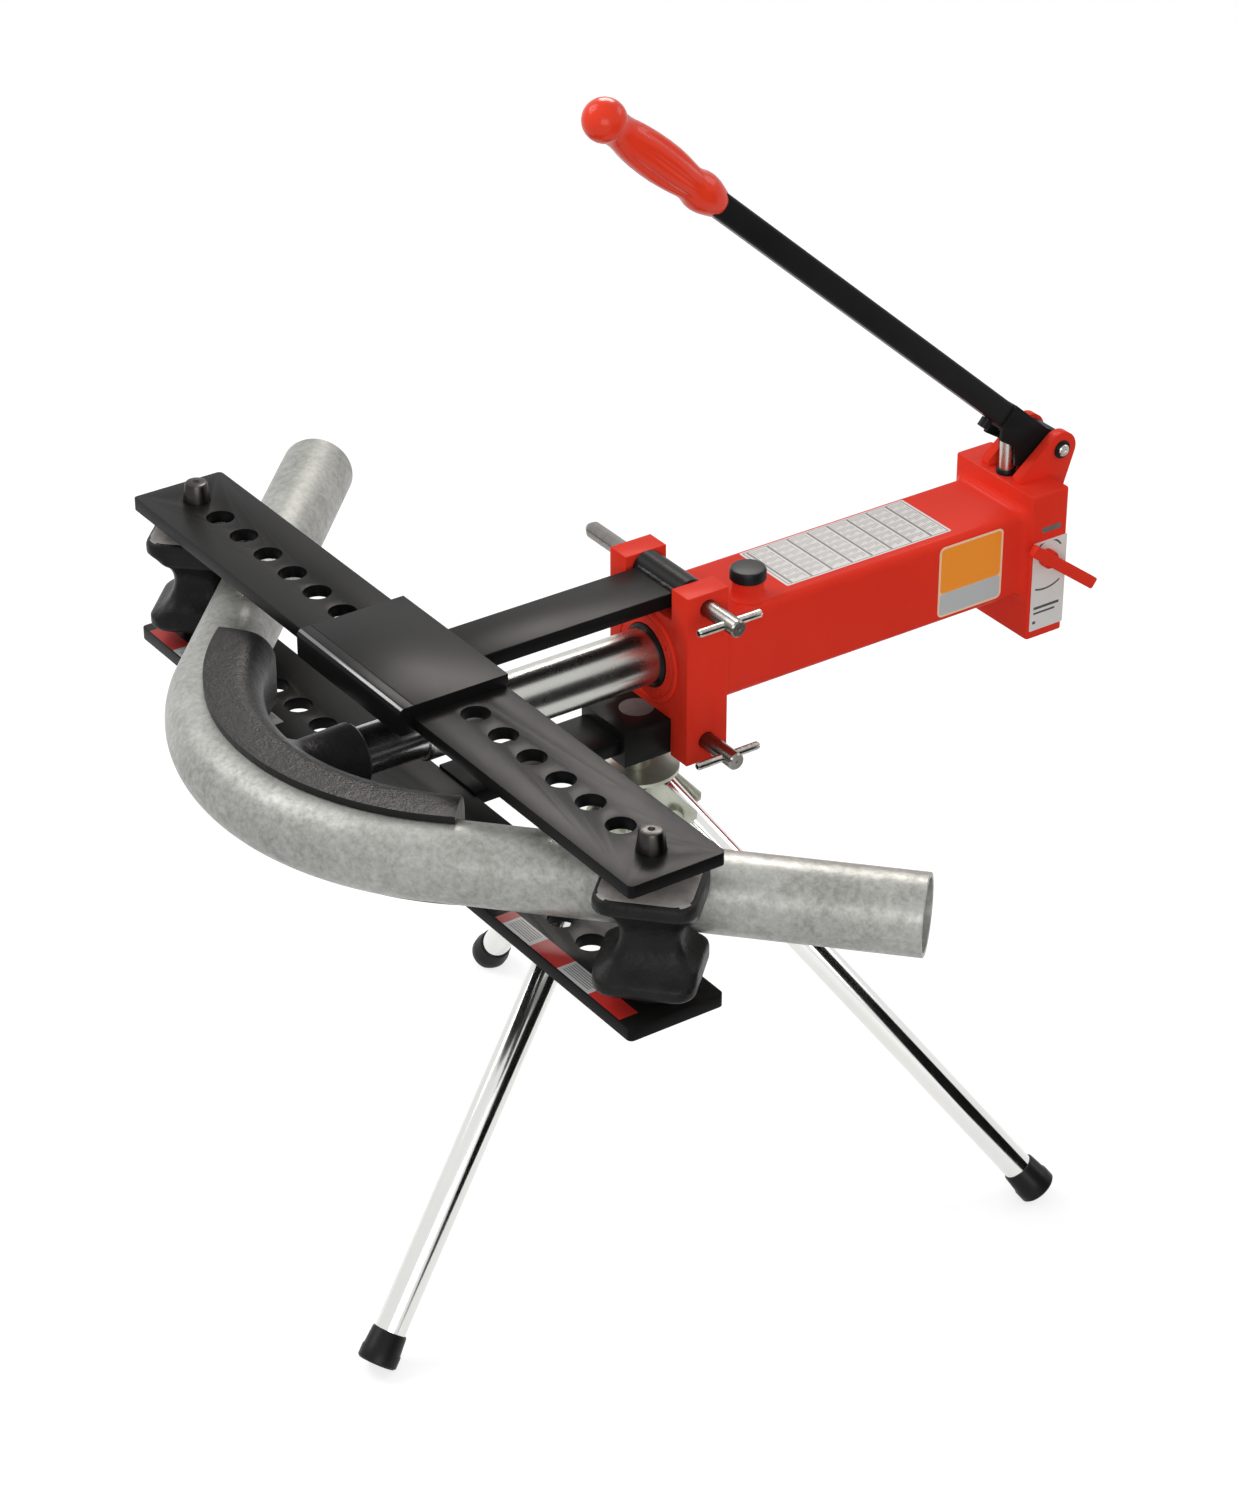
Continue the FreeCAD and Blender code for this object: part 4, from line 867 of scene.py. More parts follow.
@dataclass
class Workshop:
    """Turns finished shapes into pieces that ride on the CAD bodies."""

    datum: Datum
    made: list[str] = field(default_factory=list)

    def add(self, name: str, body: str, mesh: BMesh, finish: Finish, replaced: Iterable[str] = (),
            extra: Sequence[Finish] = (), crease: float = 32.0, soft: float = 0.0,
            segments: int = 3) -> bpy.types.Object:
        """Make a piece.

        Args:
            name: its name.
            body: the CAD body that it rides on.
            mesh: its shape, in datum millimetres.
            finish: its main finish.
            replaced: the CAD nodes that it stands for.
            extra: further finishes, for faces with a higher material index.
            crease: edges sharper than this stay sharp, in degrees.
            soft: width of a bevel modifier in millimetres, 0 for none.
            segments: steps round that bevel.

        Returns:
            The finished object.
        """
        mesh.transform(self.datum.matrix())
        data = mesh_data(mesh, name)
        for item in (finish, *extra):
            data.materials.append(item.material())
        data.shade_smooth()
        data.set_sharp_from_angle(angle=math.radians(crease))
        piece = linked(name, data)
        if soft:
            bevel = piece.modifiers.new("soft edges", "BEVEL")
            bevel.width, bevel.segments, bevel.limit_method = soft / 1000, segments, "ANGLE"
            bevel.angle_limit = math.radians(crease)
            bevel.harden_normals = True
        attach(piece, body)
        if replaced:
            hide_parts(*replaced)
        self.made.append(name)
        LOG.info("made %s on %s", name, body)
        return piece

    def eased(self, name: str, body: str, node: str, finish: Finish, width: float, segments: int = 2) -> None:
        """Make a piece that is a CAD node's own shape with eased edges.

        Args:
            name: its name.
            body: the CAD body that it rides on.
            node: the CAD node that it copies and stands for.
            finish: its finish.
            width: bevel width of the edges sharper than 60 degrees.
            segments: steps round that bevel.
        """
        mesh = Shapes.rounded(Shapes.copied(node, self.datum), width, segments, angle=60)
        self.add(name, body, mesh, finish, (node,))

    def dress(self, nodes: Iterable[str], finish: Finish) -> None:
        """Give CAD nodes that stay a better material.

        Args:
            nodes: their names.
            finish: the finish.
        """
        for name in nodes:
            for place in bpy.data.objects[name].material_slots:
                place.material = finish.material()


# ------------------------------------------------------------------ sub-assemblies

class Side(Enum):
    """Upper or lower, as a factor on Z."""

    UPPER = 1
    LOWER = -1


class Hand(Enum):
    """Right or left, as a factor on X."""

    RIGHT = 1
    LEFT = -1


@dataclass
class WingFrame:
    """One wing with its saddle and arm; the upper one swings up, the lower one is fixed."""

    shop: Workshop
    side: Side
    half_length: float = 346.0
    half_width: float = 40.0
    outer: float = 63.4
    plate: float = 10.0
    pitch: float = 36.9
    first: float = 2.5
    count: int = 7
    hole: float = 11.2
    corner: float = 4.0
    saddle_half: float = 72.0
    saddle_plate: float = 10.0
    saddle_front: float = 12.0

    @property
    def body(self) -> str:
        """The CAD body that this frame is part of."""
        return "upper_frame" if self.side is Side.UPPER else "frame"

    @property
    def word(self) -> str:
        """Name prefix of its pieces."""
        return self.side.name.lower()

    def levels(self, inner: float, outer: float) -> Span:
        """Heights between two distances from the ram's axis, lowest first."""
        low, high = sorted((inner * self.side.value, outer * self.side.value))
        return low, high

    @staticmethod
    def edged(mesh: BMesh) -> BMesh:
        """Give the narrow side faces the second finish, a darker copy of the paint: painted shade."""
        for face in mesh.faces:
            if abs(face.normal.z) < 0.6:
                face.material_index = 1
        return mesh

    def wing(self) -> None:
        """The drilled plate, with eased hole rims."""
        plate = Shapes.block((-self.half_length, self.half_length), (-self.half_width, self.half_width),
                             self.levels(self.outer - self.plate, self.outer))
        Shapes.rounded(plate, self.corner, 4, chosen=Shapes.along(Axis.Z))
        drills = [Shapes.rod(self.hole, Axis.Z, (-90, 90), (sign * (self.first + n) * self.pitch, 0, 0))
                  for sign in (-1, 1) for n in range(self.count)]
        mesh = Shapes.combined(plate, "DIFFERENCE", *drills)
        Shapes.rounded(mesh, 0.9, 3)
        self.shop.add(f"{self.word}_wing_plate", self.body, self.edged(mesh), CHARCOAL,
                      (f"{self.word}_wing",), (WORN_AND_SHADED_EDGE,))

    def saddle(self) -> None:
        """The cover bent over the wing: rounded front edge, a groove behind it and a thin rear lip."""
        top = self.outer + self.saddle_plate
        front = -self.half_width - self.saddle_front
        outline = [(front, self.outer - self.plate - 2.2), (-self.half_width, self.outer - self.plate - 2.2),
                   (-self.half_width, self.outer), (self.half_width + 1.6, self.outer),
                   (self.half_width + 1.6, top), (front + 13.0, top), (front + 12.6, top - 0.5),
                   (front + 12.2, top), (front, top)]
        outline = [(y, z * self.side.value) for y, z in outline]
        mesh = Shapes.plate(outline, Axis.X, -self.saddle_half, 2 * self.saddle_half)

        def front_edge(edge: bmesh.types.BMEdge) -> bool:
            """True for the outer front edge."""
            return all(v.co.y < front + 0.1 and abs(abs(v.co.z) - top) < 0.1 for v in edge.verts)
        Shapes.rounded(mesh, 5.0, 6, chosen=front_edge)
        Shapes.rounded(mesh, 0.8, 2, angle=50)
        for face in mesh.faces:
            # End and front faces get the darker copy of the paint: painted shade.
            if abs(face.normal.x) > 0.8 or face.normal.y < -0.7:
                face.material_index = 1
            # The strip on the rounded front edge gets the lighter copy of the paint: painted highlight.
            elif face.normal.y < -0.2 and face.calc_center_median().y < front + 6:
                face.material_index = 2
        self.shop.add(f"{self.word}_saddle_cover", self.body, mesh, CHARCOAL, (f"{self.word}_saddle",),
                      (WORN_AND_SHADED_EDGE, PAINTED_HIGHLIGHT_EDGE))

    def arm(self) -> None:
        """The bar back to the hinge."""
        node = Bounds.of(self.shop.datum, f"{self.word}_arm")
        if self.side is Side.UPPER:
            mesh = Shapes.copied("upper_arm", self.shop.datum)
            Shapes.rounded(mesh, 0.8, 2, angle=50)
        else:
            mesh = Shapes.block(*zip(node.low, node.high))
            Shapes.rounded(mesh, 0.8, 2)
        self.shop.add(f"{self.word}_arm_bar", self.body, self.edged(mesh), CHARCOAL, (f"{self.word}_arm",),
                      (WORN_AND_SHADED_EDGE,))

    def build(self) -> None:
        """Build the frame's pieces."""
        self.wing()
        self.saddle()
        self.arm()


@dataclass
class Hinges:
    """Upper barrel, lower hinge block and the two T-shaped pins."""

    shop: Workshop
    y: float = 235.0
    z: float = 58.0
    pin: float = 7.0
    barrel_radius: float = 14.0
    weld: float = 2.6
    bar_x: float = 80.0
    bar_half: float = 29.0
    bar: float = 3.3

    def barrel(self) -> None:
        """The barrel welded to the upper arm, with its two weld beads."""
        node = Bounds.of(self.shop.datum, "upper_barrel")
        bore, r = self.pin + 0.1, self.barrel_radius
        mesh = Shapes.turned([(bore, node.low.x), (r - 0.8, node.low.x), (r, node.low.x + 0.8),
                              (r, node.high.x - 0.8), (r - 0.8, node.high.x), (bore, node.high.x)],
                             Axis.X, (0, self.y, self.z), 56)
        self.shop.add("upper_hinge_barrel", "upper_frame", mesh, CHARCOAL, ("upper_barrel",))
        arm = Bounds.of(self.shop.datum, "upper_arm")
        for word, height in (("top", arm.high.z), ("under", arm.low.z)):
            bead = Shapes.bead((arm.low.x + 2, arm.high.y + 1.2, height),
                               (arm.high.x - 2, arm.high.y + 1.2, height), self.weld)
            self.shop.add(f"barrel_weld_{word}", "upper_frame", bead, WELD)

    def block(self) -> None:
        """The block under the flange that carries the tripod stud."""
        self.shop.eased("lower_hinge_block", "frame", "lower_block", CHARCOAL, 0.8)

    def pins(self) -> None:
        """Both hinge pins: turned shaft with a chamfered tip and a cross bar."""
        for side in Side:
            word = side.name.lower()
            body = f"{word}_pin_unit"
            node = Bounds.of(self.shop.datum, f"{word}_pin")
            z = self.z * side.value
            r = self.pin
            profile = [(0, node.low.x), (r - 3.6, node.low.x), (r - 3, node.low.x + 0.6), (r, node.low.x + 6),
                       (r, node.high.x - 1.2), (r - 1.2, node.high.x), (1.4, node.high.x),
                       (0.6, node.high.x - 1.2), (0, node.high.x - 1.2)]
            shaft = Shapes.turned(profile, Axis.X, (0, self.y, z), 48)
            self.shop.add(f"{word}_hinge_pin", body, shaft, STEEL, (f"{word}_pin",))
            low, high = self.y - self.bar_half, self.y + self.bar_half
            rod = Shapes.turned([(2.0, low), (self.bar - 0.9, low), (self.bar, low + 1.2),
                                 (self.bar, high - 1.2), (self.bar - 0.9, high), (2.0, high)],
                                Axis.Y, (self.bar_x, 0, z), 32)
            slot = Shapes.block((self.bar_x + 1, self.bar_x + 5), (low - 1, high + 1), (z + 0.2, z + 1.3))
            roll = Shapes.combined(rod, "DIFFERENCE", slot)
            self.shop.add(f"{word}_cross_bar", body, roll, PALE_ZINC, (f"{word}_pin_bar",))

    def build(self) -> None:
        """Build the hinge pieces."""
        self.barrel()
        self.block()
        self.pins()


@dataclass
class Cylinder:
    """Red cylinder body: housing, front flange, gland and filler."""

    shop: Workshop
    half: float = 41.6
    top: float = 38.4
    low: float = -35.0
    corner: float = 7.0
    flange_front: float = 216.2
    gland: float = 39.0
    ram: float = 22.5
    filler: Point = (23.5, 293.0)

    def housing(self) -> None:
        """The square housing with generously rounded long edges, flared out to the welds at both ends."""
        node = Bounds.of(self.shop.datum, "housing")
        mesh = Shapes.block((-self.half, self.half), (node.low.y + 4, node.high.y - 8), (self.low, self.top))
        Shapes.rounded(mesh, self.corner, 7, chosen=Shapes.along(Axis.Y))
        # each step of a flare: its length, and how far it stands out from the housing at its end
        at_flange = ((2.0, 0.5), (1.2, 1.2), (0.8, 2.6))
        at_block = ((3.0, 0.6), (2.4, 1.6), (1.6, 3.2), (1.0, 5.6))
        for way, steps in ((-1, at_flange), (1, at_block)):
            end = next(f for f in mesh.faces if f.normal.y * way > 0.99)
            grown = 0.0
            for step, flare in steps:
                end = bmesh.ops.extrude_discrete_faces(mesh, faces=[end])["faces"][0]
                ring = end.verts[:]
                bmesh.ops.translate(mesh, verts=ring, vec=(0, way * step, 0))
                scale = [(half + flare) / (half + grown) for half in (self.half, (self.top - self.low) / 2)]
                middle = Matrix.Translation((0, 0, -(self.top + self.low) / 2))
                bmesh.ops.scale(mesh, verts=ring, vec=(scale[0], 1, scale[1]), space=middle)
                grown = flare
        self.shop.add("housing_tube", "frame", mesh, RED, ("housing",), crease=40)

    def flange(self) -> None:
        """The machined H-shaped front plate."""
        self.shop.eased("front_flange", "frame", "flange", RED, 1.1, 3)

    def gland_ring(self) -> None:
        """Gland nut with a turned groove and spanner holes, and the wiper lip."""
        face = self.flange_front - 2.0
        r = self.gland
        profile = [(self.ram + 3.5, face + 3), (self.ram + 3.5, face + 0.8), (self.ram + 4.3, face),
                   (r - 5.2, face), (r - 4.8, face + 0.9), (r - 4.0, face + 0.9), (r - 3.6, face),
                   (r - 0.8, face), (r, face + 0.8), (r, face + 14), (self.ram + 3.5, face + 14)]
        ring = Shapes.turned(profile, Axis.Y, steps=96)
        holes = [Shapes.rod(2.2, Axis.Y, (face - 2, face + 4),
                            (math.cos(a) * (r - 8), 0, math.sin(a) * (r - 8)), 0.2, 20)
                 for a in (math.radians(35 + 90 * n) for n in range(4))]
        ring = Shapes.combined(ring, "DIFFERENCE", *holes)
        self.shop.add("gland_nut", "frame", ring, RED, ("gland",))
        lip = Shapes.turned([(self.ram + 0.1, face - 2), (self.ram + 1.2, face - 2.2),
                             (self.ram + 3.2, face - 0.6), (self.ram + 3.4, face + 6),
                             (self.ram + 0.1, face + 6)], Axis.Y, steps=72)
        self.shop.add("ram_wiper", "frame", lip, SEAL, ("wiper",))

    def filler_parts(self) -> None:
        """Filler neck, flared at its foot, and the smooth flat-topped cap."""
        x, y = self.filler
        base = self.top
        neck = Shapes.turned([(7.6, base - 1), (15.6, base - 1), (15.4, base + 0.6), (13.6, base + 2.0),
                              (12.4, base + 4.4), (12.2, base + 7), (12.2, base + 14), (11.4, base + 15),
                              (7.6, base + 15)], Axis.Z, (x, y, 0), 48)
        self.shop.add("filler_socket", "frame", neck, RED, ("filler_neck",))
        low = base + 15.3
        cap = Shapes.turned([(0, low), (13.6, low), (14.4, low + 0.8), (14.4, low + 7.4), (13.2, low + 9.4),
                             (11.4, low + 10), (0, low + 10)], Axis.Z, (x, y, 0), 60)
        stem = Shapes.rod(7.4, Axis.Z, (base + 1, low + 0.5), (x, y, 0), 0.6, 32)
        self.shop.add("filler_knob", "cap", Shapes.joined(cap, stem), CAP, ("filler_cap",))

    def build(self) -> None:
        """Build the cylinder's pieces."""
        self.housing()
        self.flange()
        self.gland_ring()
        self.filler_parts()


@dataclass
class RamAndFormer:
    """Chromed ram with its ground nose, and the cast bending former."""

    shop: Workshop
    ram: float = 22.5
    nose: float = 19.0
    bend: float = 222.0
    inner: float = 177.0
    half: float = 37.0
    half_angle: float = 48.7
    groove: float = 30.3
    hub: float = 25.0
    hub_root: float = 24.0
    hub_end: float = -47.0
    nose_hole: Span = (-76.0, -30.0)
    back_round: float = 22.0
    end_round: float = 4.0

    def bend_centre(self) -> float:
        """Y of the bend's centre, from the former's box."""
        return Bounds.of(self.shop.datum, "former").low.y + self.bend

    def ram_bar(self) -> None:
        """The ram with an eased front shoulder, and its nose."""
        node = Bounds.of(self.shop.datum, "ram")
        low, high = node.low.y, node.high.y
        r = self.ram
        bar = Shapes.turned([(0, low), (r - 1.6, low), (r, low + 1.6), (r, high), (0, high)], Axis.Y,
                            steps=96)
        self.shop.add("ram_bar", "ram_unit", bar, CHROME, ("ram",))
        front = Bounds.of(self.shop.datum, "ram_nose").low.y
        nose = Shapes.turned([(0, front), (self.nose - 1, front), (self.nose, front + 1), (self.nose, low),
                              (0, low)], Axis.Y, steps=80)
        self.shop.add("ram_nose_bar", "ram_unit", nose, NOSE_STEEL, ("ram_nose",))

    def former(self) -> None:
        """The cast former: grooved arc with a rounded back and a round hub."""
        centre = self.bend_centre()
        steps = 14
        groove = [(self.bend - self.groove * math.cos(a), self.groove * math.sin(a)) for a in
                  (math.radians(-90 + 180 * i / steps) for i in range(steps + 1))]
        soft, turns = self.back_round, 8
        back = [(self.inner + soft * (1 - math.sin(a)), sign * (self.half - soft * (1 - math.cos(a))))
                for sign, span in ((1, range(turns + 1)), (-1, range(turns, -1, -1)))
                for a in (math.radians(90 * i / turns) for i in span)]
        outline = [(self.bend, -self.half), (self.bend, -self.groove - 0.6)] + groove[1:-1] + [
            (self.bend, self.groove + 0.6), (self.bend, self.half)] + back
        mesh = bmesh.new()
        begin = math.radians(-90 - self.half_angle)
        facing = Vector((math.cos(begin), math.sin(begin), 0))
        verts = [mesh.verts.new(facing * r + Vector((0, 0, z))) for r, z in outline]
        face = mesh.faces.new(verts)
        bmesh.ops.spin(mesh, geom=[face], cent=(0, 0, 0), axis=(0, 0, 1),
                       angle=math.radians(2 * self.half_angle), steps=72, use_duplicate=False)
        bmesh.ops.recalc_face_normals(mesh, faces=mesh.faces)

        def end_edge(edge: bmesh.types.BMEdge) -> bool:
            """True for the outline of both end faces, apart from the groove."""
            return any(len(f.verts) > 20 for f in edge.link_faces) and all(
                v.co.xy.length < self.bend - 6 and (v.co.xy.length < self.bend - 16 or abs(v.co.z) > 33)
                for v in edge.verts)
        Shapes.rounded(mesh, self.end_round, 4, chosen=end_edge)
        bmesh.ops.translate(mesh, verts=mesh.verts, vec=(0, centre, 0))
        back_y = centre - self.inner - 6
        hub = Shapes.turned([(0, back_y), (self.hub_root + 6, back_y), (self.hub_root + 2, back_y + 7),
                             (self.hub_root, back_y + 12), (self.hub, self.hub_end - 2),
                             (self.hub - 1.5, self.hub_end), (0, self.hub_end)],
                            Axis.Y, steps=72)
        arc = Shapes.combined(mesh, "UNION", hub)
        socket = Shapes.rod(self.nose + 0.05, Axis.Y, self.nose_hole, edge=0.2, steps=64)
        cast = Shapes.combined(arc, "DIFFERENCE", socket)
        self.shop.add("bending_former", "ram_unit", cast, CAST_BLACK, ("former",), crease=38, soft=1.2)

    def build(self) -> None:
        """Build the ram's and former's pieces."""
        self.ram_bar()
        self.former()


@dataclass
class BentTube:
    """The galvanised tube held in the former."""

    shop: Workshop
    outside: float = 30.15
    wall: float = 3.65
    bend: float = 222.0
    angle: float = 46.3
    leg: float = 356.0
    leg_steps: int = 12

    def build(self) -> None:
        """Sweep the tube's ring along one leg, the bend and the other leg."""
        centre = Bounds.of(self.shop.datum, "former").low.y + self.bend
        sweep = math.radians(180 - 2 * self.angle)
        begin = math.radians(180 + self.angle)
        mesh = bmesh.new()
        ring = bmesh.ops.create_circle(mesh, cap_ends=False, radius=self.outside, segments=72)["verts"]
        facing = Vector((math.cos(begin), math.sin(begin), 0))
        along = Vector((-facing.y, facing.x, 0))
        turn = Matrix((facing, Vector((0, 0, 1)), along)).transposed().to_4x4()
        start = Matrix.Translation(facing * self.bend - along * self.leg)
        bmesh.ops.transform(mesh, matrix=start @ turn, verts=ring)
        step = self.leg / self.leg_steps
        for _ in range(self.leg_steps):
            ring = self.grow(mesh, ring, along * step)
        geometry = ring + [e for e in mesh.edges if all(v in ring for v in e.verts)]
        bmesh.ops.spin(mesh, geom=geometry, cent=(0, 0, 0), axis=(0, 0, 1), angle=sweep, steps=90,
                       use_duplicate=False)
        end = Vector((math.cos(begin + sweep), math.sin(begin + sweep), 0))
        onward = Vector((-end.y, end.x, 0))
        ring = [v for v in mesh.verts if v.is_boundary and (v.co - end * self.bend).dot(onward) > -0.01
                and (v.co - end * self.bend).length < self.outside + 1]
        for _ in range(self.leg_steps):
            ring = self.grow(mesh, ring, onward * step)
        bmesh.ops.translate(mesh, verts=mesh.verts, vec=(0, centre, 0))
        bmesh.ops.recalc_face_normals(mesh, faces=mesh.faces)
        self.outward(mesh)
        outer = list(mesh.faces)
        bmesh.ops.solidify(mesh, geom=outer, thickness=self.wall)
        bmesh.ops.recalc_face_normals(mesh, faces=mesh.faces)
        self.shop.add("galvanised_tube", "ram_unit", mesh, ZINC_DIP, ("bent_tube",), crease=40, soft=0.5)

    @staticmethod
    def grow(mesh: BMesh, ring: list[bmesh.types.BMVert], step: Vector) -> list[bmesh.types.BMVert]:
        """Extrude an open ring of vertices by one step and return the new ring."""
        held = set(ring)
        edges = [e for e in mesh.edges if e.verts[0] in held and e.verts[1] in held and
                 (e.is_boundary or e.is_wire)]
        grown = bmesh.ops.extrude_edge_only(mesh, edges=edges)["geom"]
        fresh = [item for item in grown if isinstance(item, bmesh.types.BMVert)]
        bmesh.ops.translate(mesh, verts=fresh, vec=step)
        return fresh

    @staticmethod
    def outward(mesh: BMesh) -> None:
        """Turn every face outwards where the open tube came out the other way round."""
        lowest = min(mesh.faces, key=lambda face: face.calc_center_median().z)
        if lowest.normal.z > 0:
            bmesh.ops.reverse_faces(mesh, faces=mesh.faces)


@dataclass
class RollerStation:
    """A four-sided roller block on its drop-in pin."""

    shop: Workshop
    hand: Hand
    x: float = 313.65
    half: float = 37.0
    top: float = 40.0
    corner: float = 15.0
    rim: float = 6.0
    ease: float = 1.2
    boss: float = 18.0
    bottom: float = -53.1
    angle: float = 46.3
    pin: float = 11.12
    grooves: tuple[Point, ...] = ((30.3, 22.4), (26.0, 20.0), (30.0, 18.0), (22.0, 24.0))

    def reach(self, face: int, level: float) -> float:
        """How far a face stands out from the pin at one height.

        Args:
            face: 0 to 3 for -X, -Y, +X and +Y.
            level: the height.

        Returns:
            The distance, eased where the groove meets the rim.
        """
        radius, web = self.grooves[face]
        over = min(self.rim, max(0.0, abs(level) - self.top + self.rim))
        flat = self.half - self.rim + math.sqrt(self.rim ** 2 - over ** 2)
        hollow = radius + web - math.sqrt(max(0.0, radius ** 2 - level ** 2))
        return -self.ease * math.log(math.exp(-flat / self.ease) + math.exp(-hollow / self.ease))

    def block(self) -> None:
        """The cast block: a rounded square waisted by four grooves, with a boss under it."""
        mesh = Shapes.block((-self.half, self.half), (-self.half, self.half), (-self.top, self.top))
        Shapes.rounded(mesh, self.corner, 7, chosen=Shapes.along(Axis.Z))
        # cuts across the block, closer together towards its rounded rims
        levels = [1.8 * n for n in range(19)] + [34.6, 36.4, 37.8, 38.8, 39.5]
        for level in sorted({sign * level for level in levels for sign in (1, -1)}):
            bmesh.ops.bisect_plane(mesh, geom=mesh.verts[:] + mesh.edges[:] + mesh.faces[:], dist=1e-4,
                                   plane_co=(0, 0, level), plane_no=(0, 0, 1))
        for vert in mesh.verts:
            point = vert.co
            point.x *= self.reach(2 if point.x > 0 else 0, point.z) / self.half
            point.y *= self.reach(3 if point.y > 0 else 1, point.z) / self.half
        boss = Shapes.rod(self.boss, Axis.Z, (self.bottom, -self.top + 4), edge=1.0)
        hole = Shapes.rod(self.pin, Axis.Z, (-60, 60), edge=0.1)
        mesh = Shapes.combined(Shapes.combined(mesh, "UNION", boss), "DIFFERENCE", hole)
        facing = -math.radians(self.angle) if self.hand is Hand.RIGHT else math.pi + math.radians(self.angle)
        place = Matrix.Translation((self.hand.value * self.x, 0, 0)) @ Matrix.Rotation(facing, 4, "Z")
        Shapes.moved(mesh, place)
        word = self.hand.name.lower()
        # Upward faces get the lighter copy of the casting: painted light.
        for face in mesh.faces:
            if face.normal.z > 0.9:
                face.material_index = 1
        self.shop.add(f"roller_block_{word}", f"roller_{word}_unit", mesh, CAST_GREY, (f"roller_{word}",),
                      (PAINTED_LIGHT_TOP,), crease=50)

    def stub(self) -> None:
        """The drop-in pin with its tapered, centre-drilled head."""
        word = self.hand.name.lower()
        node = Bounds.of(self.shop.datum, f"roller_pin_{word}")
        low, high = node.low.z, node.high.z
        r = self.pin
        profile = [(0, low), (r - 1, low), (r, low + 1), (r, high - 16), (r - 0.4, high - 14),
                   (9.2, high - 2.2), (8.2, high - 0.5), (6.8, high), (2.8, high), (1.2, high - 2.6),
                   (0, high - 3.2)]
        mesh = Shapes.turned(profile, Axis.Z, (self.hand.value * self.x, 0, 0), 48)
        self.shop.add(f"roller_stub_{word}", f"roller_{word}_unit", mesh, DARK_STEEL, (f"roller_pin_{word}",))

    def build(self) -> None:
        """Build the station's pieces."""
        self.block()
        self.stub()


@dataclass
class PumpEnd:
    """Rear pump block with its lugs, plunger, pivot bolt and release valve."""

    shop: Workshop
    half: float = 49.7
    front: float = 555.0
    back: float = 592.0
    top: float = 56.0
    low: float = -73.0
    pivot: Point = (603.0, 76.0)
    plunger_y: float = 567.0
    plunger_radius: float = 6.5
    corner: float = 3.0
    edge: float = 1.2
    valve: Point = (571.0, -1.0)

    def block(self) -> None:
        """The block itself."""
        mesh = Shapes.block((-self.half, self.half), (self.front, self.back), (self.low, self.top))
        Shapes.rounded(mesh, self.corner, 4, chosen=Shapes.along(Axis.Z))
        Shapes.rounded(mesh, self.edge, 3, angle=50)
        self.shop.add("pump_body", "frame", mesh, RED, ("pump_block",))

    def lugs(self) -> None:
        """Both pivot lugs and the bolt through them."""
        for word in ("left", "right"):
            self.shop.eased(f"pivot_lug_{word}", "frame", f"pump_lug_{word}", RED, 0.9)
        y, z = self.pivot
        node = Bounds.of(self.shop.datum, "pivot_bolt")
        low, high = node.low.x, node.high.x
        # A black ring round the bolt end stands for the shadow in the recess round it: painted shade.
        shade_ring = Shapes.turned([(4.9, high - 4), (7.4, high - 4), (7.8, high - 3.6), (7.8, high - 3.1),
                                (7.2, high - 2.7), (4.9, high - 2.7)], Axis.X, (0, y, z), 48)
        self.shop.add("pivot_washer", "frame", shade_ring, SEAL)
        profile = [(0, low), (5.2, low), (6.9, low + 1), (8, low + 2.2), (8, low + 6.6), (5, low + 6.8),
                   (5, high - 0.9), (4.2, high - 0.1), (3.0, high), (1.6, high), (0.9, high - 0.8),
                   (0, high - 0.9)]
        bolt = Shapes.turned(profile, Axis.X, (0, y, z), 40)
        self.shop.add("pivot_pin", "frame", bolt, PALE_ZINC, ("pivot_bolt",))

    def plunger(self) -> None:
        """Chromed plunger and its gland."""
        node = Bounds.of(self.shop.datum, "plunger")
        bar = Shapes.rod(self.plunger_radius, Axis.Z, (node.low.z, node.high.z), (0, self.plunger_y, 0), 1.0)
        self.shop.add("plunger_rod", "pump_plunger", bar, CHROME, ("plunger",))
        ring = Shapes.turned([(6.6, self.top), (8.4, self.top), (8.4, self.top + 2.6), (7.6, self.top + 4),
                              (6.6, self.top + 4)], Axis.Z, (0, self.plunger_y, 0), 48)
        self.shop.add("plunger_seal", "frame", ring, SEAL, ("pump_gland",))

    def release(self) -> None:
        """Release valve's spindle and flat lever."""
        self.shop.eased("release_lever", "valve", "valve_lever", RED, 1.0, 3)
        y, z = self.valve
        node = Bounds.of(self.shop.datum, "valve_spindle")
        face = node.high.x - 4.0
        spindle = Shapes.turned([(0, node.low.x), (6, node.low.x), (6, self.half), (7.6, self.half + 0.4),
                                 (7.6, face - 1.2), (6.8, face - 0.2), (3.6, face - 0.2), (3.6, node.high.x),
                                 (0, node.high.x)], Axis.X, (0, y, z), 40)
        self.shop.add("release_spindle", "valve", spindle, RED, ("valve_spindle",))

    def build(self) -> None:
        """Build the pump end's pieces."""
        self.block()
        self.lugs()
        self.plunger()
        self.release()


